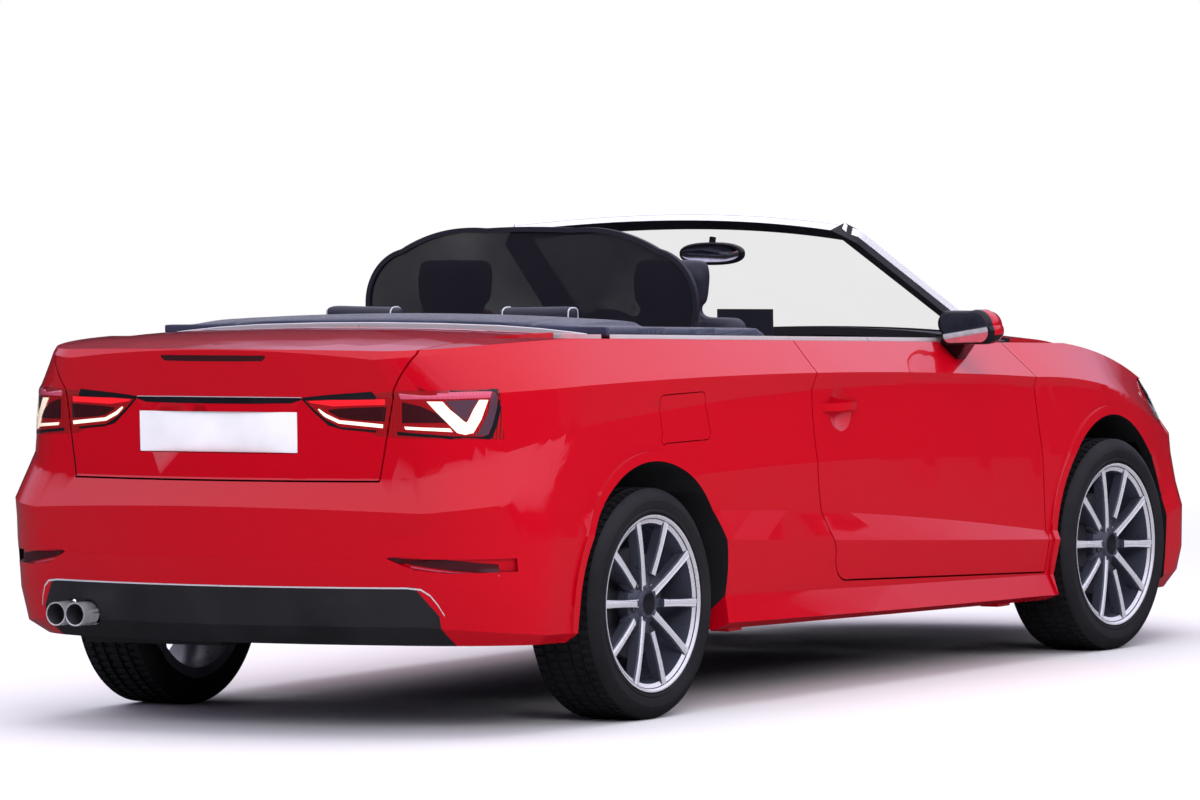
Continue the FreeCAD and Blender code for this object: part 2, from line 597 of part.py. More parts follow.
# Rear bumper and lower valance.
VALANCE = drawn(rear_view, (-size("diffuser_half_low"), 0), (-size("diffuser_half_low"), 330),
                (-size("diffuser_half_top"), size("diffuser_top")),
                (size("diffuser_half_top"), size("diffuser_top")),
                (size("diffuser_half_low"), 330), (size("diffuser_half_low"), 0))
rear_shell = skin_only(BODY.common(cuboid(-FAR, -1330, -BIG, BIG, 0, 900)), under_deck)
valance_zone = prism(VALANCE, -FAR, -1880)
bumper = rear_shell.common(tail_zone.fuse(mirrored(tail_zone)))
for zone in (lid_zone, lamp_zone, mirrored(lamp_zone), valance_zone, rear_well, mirrored(rear_well)):
    bumper = bumper.cut(zone)
SLOT = drawn(rear_view, (-530, 488), (-600, 456), (-690, 446), (-830, 446), (-830, 482),
             (-700, 484))
slot_cut = prism(SLOT, -FAR, -1700).cut(envelope(-size("slot_deep")))
bumper = bumper.cut(slot_cut.fuse(mirrored(slot_cut)))
feature("rear_bumper", bumper)
valance = rear_shell.common(valance_zone)
for place in (size("pipe_outer_y"), size("pipe_inner_y")):
    valance = valance.cut(Part.makeCylinder(size("pipe_radius") + 4, 600,
                                            Vector(-FAR, place, size("pipe_height")),
                                            Vector(1, 0, 0)))
feature("rear_valance", valance)

# Boot lid with the plate recess, and its lamps.
lid = BODY.common(prism(inset(LID, size("shut_gap")), -FAR, size("lid_front") - size("lid_gap")))
lid = skin_only(lid.common(under_deck(0)), under_deck)
plate_x = size("waist_tail_x") + size("plate_deep")
lid = lid.cut(cuboid(-FAR, plate_x, -size("plate_wide") / 2, size("plate_wide") / 2,
                     size("plate_low"), size("plate_low") + size("plate_tall")))
for place in (-size("plate_hole_y"), size("plate_hole_y")):
    lid = lid.cut(Part.makeCylinder(size("plate_hole"), 200,
                                    Vector(-FAR + 250, place,
                                           size("plate_low") + size("plate_tall") / 2),
                                    Vector(1, 0, 0)))
lid_lamp_zone = prism(LID_LAMP, -FAR, -2000)
lid_lamp = lid.common(lid_lamp_zone)
lid = lid.cut(lid_lamp_zone).cut(mirrored(lid_lamp_zone))
feature("boot_lid", lid)
feature("lid_lamps", lid_lamp.fuse(mirrored(lid_lamp)))
lamp_inner = envelope(-size("lamp_deep"))
lamp = BODY.common(prism(inset(LAMP, size("fit_gap")), -FAR, size("lamp_front") - size("fit_gap")))
pair("tail_lamp", lamp.cut(lamp_inner).cut(lid_zone))

# Front wings with the inner wheel wells.
wing = BODY.common(right_half(700, FAR)).common(under_belt(0)).common(under_bonnet(0))
cowl_side = cuboid(size("cowl_rear_side") - 1, size("bonnet_rear_side"), -size("cowl_half") - 1,
                   0, 880, belt_over)
for zone in (door_hole, sill_zone, nose_zone, bonnet_zone, front_well, CABIN, FOOTWELL,
             ENGINE_BAY, headlamp_zone, UNDER_CABIN, COWL_ROOM, cowl_side, axle_slots[0]):
    wing = wing.cut(zone)
pair("fender", wing)

# Front bumper, bonnet and headlamps.
front_shell = BODY.common(cuboid(1330, FAR, -BIG, BIG, 0, 1200)).common(under_bonnet(0))
front_shell = skin_only(front_shell, under_bonnet)
nose = front_shell.common(nose_zone.fuse(mirrored(nose_zone)))
for zone in (bonnet_zone, headlamp_zone, mirrored(headlamp_zone), front_well, mirrored(front_well)):
    nose = nose.cut(zone)
GRILLE = drawn(rear_view, (-330, 702), (-372, 610), (-352, 420), (-290, 268), (290, 268),
               (352, 420), (372, 610), (330, 702))
grille_zone = prism(GRILLE, 1900, FAR)
INTAKE = drawn(rear_view, (-452, 262), (-470, 372), (-540, 408), (-735, 400), (-760, 290),
               (-720, 252))
intake_zone = prism(INTAKE, 1700, FAR)
intake_cut = intake_zone.cut(INNER)
nose = nose.cut(grille_zone).cut(envelope(0).common(intake_cut.fuse(mirrored(intake_cut)))
                                 .cut(envelope(-16)))
feature("front_bumper", nose)
mesh_body = envelope(-12)
frame_body = envelope(3)
backing = envelope(-44)
surround = frame_body.common(prism(inset(GRILLE, size("fit_gap")), 1900, FAR))
surround = surround.cut(prism(inset(GRILLE, 20), 1900, FAR)).cut(backing)
bars = []
for index in range(int(size("bar_count"))):
    height = 290 + index * size("bar_pitch")
    bars.append(cuboid(1900, FAR, -400, 400, height, height + size("bar_tall")))
for place in (-120, 120):
    bars.append(cuboid(1900, 2141, place - 8, place + 8, 260, 710))
bar_zone = bars[0].multiFuse(bars[1:])
bar_zone = bar_zone.common(prism(inset(GRILLE, 19), 1900, FAR))
feature("grille", surround.fuse(mesh_body.common(bar_zone).cut(backing)))
bonnet = BODY.common(prism(inset(BONNET, size("shut_gap")), 600, BIG)).common(under_bonnet(0))
bonnet = skin_only(bonnet, under_bonnet)
feature("bonnet", bonnet)
headlamp = BODY.common(prism(inset(HEADLAMP, size("fit_gap")),
                             size("nose_lamp_x") + size("fit_gap"), FAR))
lamp_back = drawn(plan_view, (1700, -745), (1830, -728), (1930, -640), (2005, -520), (2030, -400),
                  (1700, -400))
headlamp = headlamp.common(under_bonnet(0)).cut(prism(lamp_back, 0, BIG)).cut(bonnet_zone)
pair("headlamp", headlamp)

# Cowl between bonnet and windscreen.
cowl = prism(COWL, 800, BIG).common(under_bonnet(-size("cowl_drop")))
cowl = cowl.cut(under_bonnet(-size("cowl_drop") - size("cowl_thick")))
feature("cowl", cowl)

# Windscreen: a frame of two pillars and the header, and the glass in it.
SCREEN_LOW = (Vector(868, -742, 940), Vector(1072, 0, 968), Vector(868, 742, 940))
SCREEN_TOP = (Vector(250, -600, 1316), Vector(322, 0, 1350), Vector(250, 600, 1316))
SCREEN_IN = Vector(-0.456, 0, -0.89)


def screen_slab(side, top, low, outer, thick):
    """Curved slab along the windscreen, drawn in at its sides and top, between two depths."""
    wires = []
    slopes = [(foot - head).normalize() for foot, head in zip(SCREEN_LOW, SCREEN_TOP)]
    for ends, along in ((SCREEN_LOW, -low), (SCREEN_TOP, top)):
        moved = [point + slope * along for point, slope in zip(ends, slopes)]
        inward = ((moved[0] + moved[2]) * 0.5 - moved[1]).normalize()
        inward = inward * (1 / inward.dot(SCREEN_IN))
        front = [point + inward * outer for point in moved]
        front[0].y += side
        front[2].y -= side
        back = [point + inward * thick for point in front]
        wires.append(Part.Wire([
            Part.Arc(*front).toShape(), Part.makeLine(front[2], back[2]),
            Part.Arc(back[2], back[1], back[0]).toShape(), Part.makeLine(back[0], front[0])]))
    return Part.makeLoft(wires, True, True)


frame = screen_slab(0, 0, 0, 0, size("pillar_deep"))
frame = frame.cut(screen_slab(size("pillar_wide"), size("header_wide"), -200, -40, 140))
frame = frame.cut(under_belt(size("fit_gap"))).cut(under_bonnet(size("fit_gap")))
feature("windscreen_frame", frame.cut(prism(DOOR, -BIG, BIG).common(under_belt(8))))
glass = screen_slab(size("pillar_wide") + 2 * size("fit_gap"),
                    size("header_wide") + 2 * size("fit_gap"),
                    0, 8, size("glass_thick"))
glass = glass.cut(under_bonnet(-size("cowl_drop") + size("fit_gap")))
glass = glass.cut(under_belt(-30))
feature("windscreen", glass)
mirror_stem = Part.makeCylinder(9, 60, Vector(448, 0, 1232), Vector(0.25, 0, 1))
mirror_glass = cuboid(434, 462, -110, 110, 1186, 1246)
mirror_glass = mirror_glass.makeChamfer(9, mirror_glass.Edges)
stem_end = screen_slab(-100, -100, 100, -100, 108 + size("glass_thick") + size("fit_gap"))
feature("interior_mirror", mirror_glass.fuse(mirror_stem).cut(stem_end))

# Soft roof folded on the shelf behind the seats, with its side covers.
stack = cuboid(size("bay_rear") + 8, size("cabin_rear") - size("fit_gap"),
               -size("bay_half") + 6, size("bay_half") - 6, size("bay_floor") + size("fit_gap"), 1200)
stack = stack.common(crowned(size("roof_apex_x"), size("roof_apex_z"), size("roof_radius"),
                             size("roof_crown"), -1700, -400))
cover_plan = drawn(plan_view, (size("bay_rear") + 8, -748), (-900, -768), (-470, -770),
                   (-470, -690), (-620, -625), (size("bay_rear") + 8, -625))
cover = prism(cover_plan, 800, BIG).common(under_belt(size("cover_tall")))
cover = cover.common(under_deck(size("cover_tall"))).cut(under_belt(size("fit_gap")).common(
    under_deck(size("fit_gap"))))
cover = cover.cut(prism(drawn(side_view, (-560, 1200), (-560, 1050), (-470, 1004), (-400, 1200)),
                        -BIG, BIG))
cover = cover.cut(stack)
feature("folded_roof", stack.multiFuse([cover, mirrored(cover)]))

# Bright trim along the belt and behind the roof.
trim_outer = drawn(plan_view, (-300, -775), (-900, -781), (-1230, -768), (-1310, -745, -1336, -650),
                   (-1336, 650), (-1310, 745, -1230, 768), (-900, 781), (-300, 775))
trim_room = inset(trim_outer, size("trim_wide"))
trim = prism(trim_outer, 800, BIG).cut(prism(trim_room, 700, BIG + 100))
trim = trim.cut(cuboid(size("door_rear_top") - size("fit_gap"), 0, -BIG, BIG, -BIG, BIG))
trim = trim.common(under_belt(size("trim_tall"))).common(under_deck(size("trim_tall")))
trim = trim.cut(under_belt(size("fit_gap")).common(under_deck(size("fit_gap"))))
trim = trim.cut(NODES["folded_roof"].Shape)
feature("belt_trim", trim)
door_top = drawn(plan_view, (size("door_rear_top") + size("shut_gap"), -776), (0, -776), (400, -770),
                 (600, -764), (600, -750), (400, -756), (0, -762),
                 (size("door_rear_top") + size("shut_gap"), -762))
door_trim = prism(door_top, 800, BIG).common(under_belt(size("trim_tall")))
pair("door_trim", door_trim.cut(under_belt(size("fit_gap"))))

# Wind deflector behind the front seats.
deflector = drawn(rear_view, (-560, 990), (-560, 1060), (-556, 1170, -440, 1268),
                  (-330, 1312, -150, 1328), (0, 1332, 150, 1328), (330, 1312, 440, 1268),
                  (556, 1170, 560, 1060), (560, 990))
pane = prism(inset(deflector, 10), size("deflector_x") - 1.5, size("deflector_x") + 1.5)
rim = prism(deflector, size("deflector_x") - 8, size("deflector_x") + 8)
rim = rim.cut(prism(inset(deflector, 14), size("deflector_x") - 9, size("deflector_x") + 9))
foot = cuboid(size("deflector_x") - 8, size("deflector_x") + 8,
              -size("rear_cabin_half") + size("fit_gap"), size("rear_cabin_half") - size("fit_gap"),
              976, 992)
feature("wind_deflector", rim.fuse(pane).fuse(foot))

# Door mirrors on the front corner of the doors.
shell_face = drawn(rear_view, (-806, 990), (-800, 1040, -822, 1056), (-905, 1056),
                   (-955, 1048, -974, 1012), (-976, 975, -955, 958), (-830, 955),
                   (-812, 962, -806, 990))
shell_middle = shell_face.CenterOfMass
shell_wires = []
for place, scale in ((402, 0.95), (418, 1.0), (462, 0.97), (498, 0.84), (522, 0.56)):
    matrix = FreeCAD.Matrix()
    matrix.scale(1, scale, scale)
    wire = shell_face.OuterWire.translated(shell_middle * -1).transformGeometry(matrix)
    shell_wires.append(wire.translated(shell_middle + Vector(place, 0, 0)))
shell = Part.makeLoft(shell_wires, True, True)
arm = prism(drawn(rear_view, (-772, 985), (-880, 968), (-830, 905), (-800, 900), (-772, 940)),
            438, 494)
mirror = shell.fuse(arm).cut(under_belt(size("trim_tall") + size("fit_gap")).common(
    cuboid(-FAR, FAR, -786, BIG, -BIG, BIG))).cut(envelope(size("fit_gap")))
pair("door_mirror", mirror)


def bound(text):
    """Expression with each alias of the sheet spelled out."""
    return re.sub(r"[a-z][a-z0-9_]+", lambda found: "Dims." + found.group(0), str(text))


def bind(item, name, text):
    item.setExpression(name, bound(text))


def block(label, x_low, x_high, y_low, y_high, z_low, z_high):
    """Box between expressions of the sheet."""
    box = doc.addObject("Part::Box", label)
    for name, low, high in (("Length", x_low, x_high), ("Width", y_low, y_high),
                            ("Height", z_low, z_high)):
        bind(box, name, "(%s) - (%s)" % (high, low))
    for name, low in (("x", x_low), ("y", y_low), ("z", z_low)):
        bind(box, "Placement.Base." + name, low)
    return box


ALONG_X = Rotation(Vector(0, 1, 0), 90)
ALONG_Y = Rotation(Vector(1, 0, 0), -90)
ALONG_Z = Rotation()


def rod(label, turn, x, y, z, radius, length):
    """Round bar that starts at a point and runs along an axis."""
    bar = doc.addObject("Part::Cylinder", label)
    bind(bar, "Radius", radius)
    bind(bar, "Height", length)
    bar.Placement = FreeCAD.Placement(Vector(), turn)
    for name, where in (("x", x), ("y", y), ("z", z)):
        bind(bar, "Placement.Base." + name, where)
    return bar


def fused(label, pieces):
    item = doc.addObject("Part::MultiFuse", label)
    item.Shapes = pieces
    return item


def cut_from(label, base, tool):
    item = doc.addObject("Part::Cut", label)
    item.Base = base
    item.Tool = tool
    return item


def node(item, label):
    """Keep an object of the document as a sub-part."""
    item.Label = label
    NODES[label] = item
    return item


def profile(body, plane, points):
    """Closed sketch on an origin plane of a body; each corner is a pair of expressions."""
    sketch = body.newObject("Sketcher::SketchObject", body.Name + "Sketch")
    support = [item for item in body.Origin.OriginFeatures if item.Role == plane][0]
    sketch.AttachmentSupport = [(support, "")]
    sketch.MapMode = "FlatFace"
    places = [tuple(number(part) for part in point) for point in points]
    count = len(places)
    for index in range(count):
        here = Vector(places[index][0], places[index][1], 0)
        there = Vector(places[(index + 1) % count][0], places[(index + 1) % count][1], 0)
        sketch.addGeometry(Part.LineSegment(here, there), False)
    for index in range(count):
        sketch.addConstraint(Sketcher.Constraint("Coincident", index, 2, (index + 1) % count, 1))
    for index in range(count):
        for kind, part in (("DistanceX", 0), ("DistanceY", 1)):
            rule = Sketcher.Constraint(kind, -1, 1, index, 1, places[index][part])
            place = sketch.addConstraint(rule)
            sketch.setExpression("Constraints[%d]" % place, bound(points[index][part]))
    return sketch


def number(text):
    """Value of an expression of the sheet, read through a cell."""
    sheet.set("D1", "=" + str(text))
    sheet.recompute()
    return float(sheet.get("D1"))


def padded_body(label, plane, points, length):
    """Body made of one profile padded evenly to both sides of its plane."""
    body = doc.addObject("PartDesign::Body", label)
    pad = body.newObject("PartDesign::Pad", label + "Pad")
    pad.Profile = profile(body, plane, points)
    bind(pad, "Length", length)
    pad.SideType = "Symmetric"
    body.Tip = pad
    return body


def rounded(body, radius, pick):
    """Round the edges of a body that the pick accepts."""
    doc.recompute()
    base = body.Tip
    names = ["Edge%d" % (index + 1) for index, edge in enumerate(base.Shape.Edges) if pick(edge)]
    fillet = body.newObject("PartDesign::Fillet", body.Name + "Round")
    fillet.Base = (base, names)
    bind(fillet, "Radius", radius)
    body.Tip = fillet


# Floor with the bulkheads, the rear panel and the front rails.
floor_pieces = [
    block("floor_plate", "bulkhead_thick + cabin_rear + 128", "cabin_front",
          "fit_gap * 2 - sill_inner", "sill_inner - fit_gap * 2", "floor_low", "floor_top"),
    block("floor_toe", "cabin_front - 1", "bulkhead + bulkhead_thick",
          "fit_gap - engine_bay_half", "engine_bay_half - fit_gap", "floor_low", "floor_top"),
    block("floor_tunnel", "cabin_rear + 128", "bulkhead", -100, 100, "floor_top", "floor_top + 90"),
    block("floor_bulkhead", "bulkhead", "bulkhead + bulkhead_thick", "fit_gap - engine_bay_half",
          "engine_bay_half - fit_gap", "floor_low", 890),
    block("floor_step", "cabin_rear + 100", "cabin_rear + 128", "fit_gap - rear_cabin_half",
          "rear_cabin_half - fit_gap", "floor_low", "boot_floor"),
    block("floor_seat_base", "cabin_rear - bulkhead_thick", "cabin_rear + 128", "fit_gap - boot_half",
          "boot_half - fit_gap", "boot_floor - sheet_thick", "boot_floor"),
    block("floor_boot", "floor_rear", "cabin_rear", "fit_gap - boot_half", "boot_half - fit_gap",
          "boot_floor - sheet_thick", "boot_floor"),
    block("floor_rear_panel", "floor_rear", "floor_rear + 26", "fit_gap - boot_half",
          "boot_half - fit_gap", "boot_floor - sheet_thick", 720),
    block("floor_seat_wall", "cabin_rear - bulkhead_thick", "cabin_rear", "fit_gap - boot_half",
          "boot_half - fit_gap", "boot_floor", "bay_floor"),
    block("floor_roof_shelf", "bay_rear + fit_gap", "cabin_rear", "fit_gap - boot_half",
          "boot_half - fit_gap", "bay_floor - sheet_thick", "bay_floor"),
    block("floor_front_beam", 2020, 2058, -430, 430, 380, 480),
    block("floor_buffer_right", -2070, "floor_rear + 1", -420, -380, 700, 716),
    block("floor_buffer_left", -2070, "floor_rear + 1", 380, 420, 700, 716),
]
for name, low, high in (("right", "-430", "-360"), ("left", "360", "430")):
    floor_pieces.append(block("floor_rail_" + name, "bulkhead", 2040, low, high, 330, 420))
node(fused("FloorPan", floor_pieces), "floor_pan")

# Engine as one plain block with its two mounts.
engine = [block("engine_mass", 1085, 1640, -330, 330, 330, 800)]
for name, low, high in (("right", "-425", "-330"), ("left", "330", "425")):
    engine.append(block("engine_mount_" + name, 1300, 1400, low, high, "420 + fit_gap", 460))
node(fused("EngineBlock", engine), "engine_block")
node(fused("Radiator", [
    block("radiator_core", 1960, "2020 - fit_gap", -350, 350, 250, 680),
    block("radiator_stay", 1960, 1990, -30, 30, 680, 739.4)]), "radiator")

# Front and rear axles with the knuckles.
front = [block("front_frame", 1190, 1410, -430, 430, 250, "330 - fit_gap")]
rear = [block("rear_frame", -1410, -1190, -440, 440, 236, "boot_floor - sheet_thick - fit_gap")]
for side, name in ((RIGHT, "right"), (LEFT, "left")):
    low, high = sorted((side * 330, side * 735))
    front.append(block("front_arm_" + name, 1258, 1338, low, high, 176, 200))
    low, high = sorted((side * 330, side * 400))
    front.append(block("front_foot_" + name, 1258, 1338, low, high, 200, 250))
    low, high = sorted((side * 430, side * 650))
    rear.append(block("rear_arm_" + name, -1341, -1251, low, high, 236, 262))
    low, high = sorted((side * 650, side * 712))
    rear.append(block("rear_carrier_" + name, -1346, -1246, low, high, 236, 392))
    rear.append(rod("rear_stub_" + name, ALONG_Y, "rear_axle",
                    "%d * 712 - %d" % (side, 0 if side > 0 else 128), "tyre_radius",
                    "hub_bore - fit_gap", 128))
node(fused("FrontAxle", front), "front_axle")
node(fused("RearAxle", rear), "rear_axle")

for side, name in ((RIGHT, "right"), (LEFT, "left")):
    pieces = [rod("knuckle_joint_" + name, ALONG_Z, "rear_axle + wheelbase",
                  "%d * kingpin_y" % side, "200 + fit_gap", 20, 50)]
    low, high = sorted((side * 695, side * 735))
    pieces.append(block("knuckle_upright_" + name, "rear_axle + wheelbase - 45",
                        "rear_axle + wheelbase + 45", low, high, 238, 440))
    pieces.append(block("knuckle_caliper_arm_" + name, "rear_axle + wheelbase - 172",
                        "rear_axle + wheelbase - 40", low, high, 270, 366))
    low, high = sorted((side * 612, side * 700))
    pieces.append(block("knuckle_strut_arm_" + name, "rear_axle + wheelbase - 30",
                        "rear_axle + wheelbase + 30", low, high, 400, 440))
    pieces.append(rod("knuckle_strut_" + name, ALONG_Z, "rear_axle + wheelbase",
                      side * 620, 400, 26, 280))
    pieces.append(rod("knuckle_stub_" + name, ALONG_Y, "rear_axle + wheelbase",
                      "%d * 735 - %d" % (side, 0 if side > 0 else 110), "tyre_radius",
                      "hub_bore - fit_gap", 110))
    low, high = sorted((side * 700, side * 836))
    caliper = block("knuckle_caliper_" + name, "rear_axle + wheelbase - 178",
                    "rear_axle + wheelbase - 96", low, high, "tyre_radius - 62",
                    "tyre_radius + 62")
    slot_low, slot_high = sorted((side * 786, side * 820))
    slot = block("knuckle_slot_" + name, "rear_axle + wheelbase - 170",
                 "rear_axle + wheelbase - 90", slot_low, slot_high, 200, 440)
    pieces.append(cut_from("knuckle_cut_" + name, caliper, slot))
    node(fused(name.capitalize() + "Knuckle", pieces), name + "_knuckle")

# Wheels: a turned rim with its disc and ten spokes, and the tyre round it.
WHEELS = (("front_right", RIGHT, "rear_axle + wheelbase", "track_front"),
          ("front_left", LEFT, "rear_axle + wheelbase", "track_front"),
          ("rear_right", RIGHT, "rear_axle", "track_rear"),
          ("rear_left", LEFT, "rear_axle", "track_rear"))


def turned(label, points):
    """Body turned about its own Z axis; each corner is radius and height."""
    body = doc.addObject("PartDesign::Body", label)
    turn = body.newObject("PartDesign::Revolution", label + "Turn")
    turn.Profile = profile(body, "XZ_Plane", points)
    axis = [item for item in body.Origin.OriginFeatures if item.Role == "Z_Axis"][0]
    turn.ReferenceAxis = (axis, [""])
    turn.Angle = 360
    body.Tip = turn
    return body


def place_wheel(item, side, x, track):
    """Stand a wheel part on its axle with its outer face away from the car."""
    item.Placement = FreeCAD.Placement(Vector(), Rotation(Vector(1, 0, 0), -90 * side))
    bind(item, "Placement.Base.x", x)
    bind(item, "Placement.Base.y", "%d * %s / 2" % (side, track))
    bind(item, "Placement.Base.z", "tyre_radius")


for name, side, x, track in WHEELS:
    tyre = turned("Tyre_" + name, (
        ("bead_radius + fit_gap", "0 - rim_width / 2 + 18"),
        ("bead_radius + 18", "0 - rim_width / 2 + 4"),
        ("tyre_radius - 34", "0 - tyre_width / 2"),
        ("tyre_radius", "0 - tread_width / 2"),
        ("tyre_radius", "tread_width / 2"),
        ("tyre_radius - 34", "tyre_width / 2"),
        ("bead_radius + 18", "rim_width / 2 - 4"),
        ("bead_radius + fit_gap", "rim_width / 2 - 18")))
    place_wheel(tyre, side, x, track)
    node(tyre, name + "_tyre")
    rim = turned("Rim_" + name, (
        ("bead_radius - rim_wall", "0 - rim_width / 2"),
        ("rim_flange", "0 - rim_width / 2"),
        ("rim_flange", "0 - rim_width / 2 + 3"),
        ("bead_radius", "0 - rim_width / 2 + 16"),
        ("bead_radius", "rim_width / 2 - 16"),
        ("rim_flange", "rim_width / 2 - 3"),
        ("rim_flange", "rim_width / 2"),
        ("bead_radius - rim_wall", "rim_width / 2 - 6")))
    hub = turned("Hub_" + name, (
        ("hub_bore", "rim_width / 2 - dish - disc_inset - disc_thick / 2"),
        ("disc_radius", "rim_width / 2 - dish - disc_inset - disc_thick / 2"),
        ("disc_radius", "rim_width / 2 - dish - disc_inset + disc_thick / 2"),
        ("hub_radius", "rim_width / 2 - dish - disc_inset + disc_thick / 2"),
        ("hub_radius", "rim_width / 2 - dish"),
        ("hub_bore", "rim_width / 2 - dish")))
    spoke = doc.addObject("PartDesign::Body", "Spoke_" + name)
    pad = spoke.newObject("PartDesign::Pad", "SpokePad_" + name)
    pad.Profile = profile(spoke, "XY_Plane", (
        ("hub_radius - 12", "0 - spoke_wide_hub / 2"),
        ("bead_radius - rim_wall + 3", "0 - spoke_wide_rim / 2"),
        ("bead_radius - rim_wall + 3", "spoke_wide_rim / 2"),
        ("hub_radius - 12", "spoke_wide_hub / 2")))
    bind(pad, "Length", "spoke_deep")
    spoke.Tip = pad
    ring = spoke.newObject("PartDesign::PolarPattern", "SpokeRing_" + name)
    ring.Originals = [pad]
    axis = [item for item in spoke.Origin.OriginFeatures if item.Role == "Z_Axis"][0]
    ring.Axis = (axis, [""])
    ring.Angle = 360
    bind(ring, "Occurrences", "spoke_count")
    spoke.Tip = ring
    bind(spoke, "Placement.Base.z", "rim_width / 2 - dish - spoke_deep")
    whole = fused("Wheel_" + name, [rim, hub, spoke])
    place_wheel(whole, side, x, track)
    node(whole, name + "_rim")

# Steering wheel on its column, and the dashboard that carries the column.
dash = padded_body("Dash", "XZ_Plane", (
    ("cabin_front - fit_gap", 520), ("cabin_front - fit_gap", 922), (700, 940), (640, 962), (560, 940),
    (500, 905), (455, 850), (470, 740), (560, 650), (600, 520)), 1270)
hood = block("DashHood", 470, 640, 230, 510, 850, 992)
display = block("DashDisplay", 622, 634, -95, 95, 930, 1050)
column = rod("DashColumn", Rotation(Vector(0, 1, 0), 90 + 24), 397.46, 370, 875.34, 34, 190)
node(fused("Dashboard", [dash, hood, display, column]), "dashboard")
ring = turned("SteeringRing", (
    ("ring_radius - ring_thick", "0 - ring_thick / 2"),
    ("ring_radius - ring_thick / 2", "0 - ring_thick"),
    ("ring_radius + ring_thick / 2", "0 - ring_thick"),
    ("ring_radius + ring_thick", "0 - ring_thick / 2"),
    ("ring_radius + ring_thick", "ring_thick / 2"), ("ring_radius + ring_thick / 2", "ring_thick"),
    ("ring_radius - ring_thick / 2", "ring_thick"), ("ring_radius - ring_thick", "ring_thick / 2")))
boss = doc.addObject("Part::Cylinder", "SteeringBoss")
bind(boss, "Radius", "boss_radius")
bind(boss, "Height", "boss_tall")
bind(boss, "Placement.Base.z", "0 - boss_tall / 2")
spokes = [ring, boss]
for angle in (0, 180, 270):
    arm = doc.addObject("Part::Box", "SteeringArm%d" % angle)
    arm.Length = 135
    arm.Width = 30
    arm.Height = 12
    turn = Rotation(Vector(0, 0, 1), angle)
    arm.Placement = FreeCAD.Placement(turn.multVec(Vector(30, -15, -6)), turn)
    spokes.append(arm)
steering = fused("SteeringWheel", spokes)
frame_turn = Rotation(Vector(0, -1, 0), Vector(math.sin(math.radians(24)), 0,
                                              math.cos(math.radians(24))),
                      Vector(-math.cos(math.radians(24)), 0, math.sin(math.radians(24))), "ZXY")
steering.Placement = FreeCAD.Placement(Vector(378, 370, 884), frame_turn)
node(steering, "steering_wheel")

# Console, seats and the rear bench.
console = padded_body("Console", "XZ_Plane", (
    (-480, "floor_top + 90 + fit_gap"), (-480, 520), (-440, 560), (-120, 560), (-40, 500),
    (300, 530), (440, 600), (540, 620), ("600 - 60", "floor_top + 90 + fit_gap")), 190)
lever = rod("GearLever", ALONG_Z, 120, 0, 500, 10, 110)
knob = rod("GearKnob", ALONG_Z, 120, 0, 590, 24, 40)
node(fused("CentreConsole", [console, lever, knob]), "centre_console")
for side, name in ((RIGHT, "right"), (LEFT, "left")):
    seat = padded_body(name.capitalize() + "SeatShape", "XZ_Plane", (
        (-330, 300), (180, 300), (205, 330), (195, 480), (150, 510), (-190, 462), (-250, 560),
        (-330, 1030), (-355, 1070), (-415, 1070), (-438, 1030), (-400, 600), (-362, 380)), 500)
    head = padded_body(name.capitalize() + "HeadShape", "XZ_Plane", (
        (-352, 1100), (-335, 1190), (-350, 1237), (-395, 1237), (-418, 1180), (-412, 1100)), 250)
    rounded(seat, 40, lambda edge: abs(edge.tangentAt(edge.FirstParameter).y) < 0.1)
    rounded(head, 30, lambda edge: abs(edge.tangentAt(edge.FirstParameter).y) < 0.1)
    rail = block(name + "_seat_rail", -240, 140, -190, 190, "floor_top + fit_gap", 305)
    posts = [rod(name + "_seat_post_%d" % index, ALONG_Z, -390, place, 1050, 7, 80)
             for index, place in enumerate((-60, 60))]
    seat_all = fused(name.capitalize() + "FrontSeat", [seat, head, rail] + posts)
    seat_all.Placement = FreeCAD.Placement(Vector(0, side * 372, 0), Rotation())
    node(seat_all, name + "_front_seat")
bench = padded_body("Bench", "XZ_Plane", (
    ("cabin_rear + fit_gap", "boot_floor + fit_gap"), (-520, "boot_floor + fit_gap"), (-500, 380),
    (-510, 470), (-545, 492), (-850, 446), (-905, 560), (-925, 1000), (-945, 1022),
    ("cabin_rear + fit_gap", 1022)), 1100)
rounded(bench, 30, lambda edge: abs(edge.tangentAt(edge.FirstParameter).y) < 0.1
        and edge.CenterOfMass.z > 400)
heads = []
for side, name in ((RIGHT, "right"), (LEFT, "left")):
    head = block("bench_head_" + name, "cabin_rear + 12", "cabin_rear + 70", "%d * 300 - 125" % side,
                 "%d * 300 + 125" % side, 1040, 1130)
    heads.append(head)
    heads.append(block("bench_stay_" + name, "cabin_rear + 30", "cabin_rear + 50",
                       "%d * 300 - 60" % side, "%d * 300 + 60" % side, 1000, 1060))
node(fused("RearSeat", [bench] + heads), "rear_seat")

# Silencer and the two tail pipes.
silencer = block("Silencer", -1950, -1740, 120, 580, 226, "boot_floor - sheet_thick - fit_gap")
pipes = [silencer]
holes = []
for index, place in enumerate(("pipe_outer_y", "pipe_inner_y")):
    pipes.append(rod("TailPipe%d" % index, ALONG_X, -2152, place, "pipe_height",
                     "pipe_radius", 70))
    pipes.append(rod("TailNeck%d" % index, ALONG_X, -2090, place, "pipe_height - 18", 16, 145))
    holes.append(rod("TailBore%d" % index, ALONG_X, -2153, place, "pipe_height",
                     "pipe_radius - 4", 60))
node(cut_from("ExhaustTips", fused("ExhaustSolid", pipes), fused("ExhaustHoles", holes)),
     "exhaust_tips")


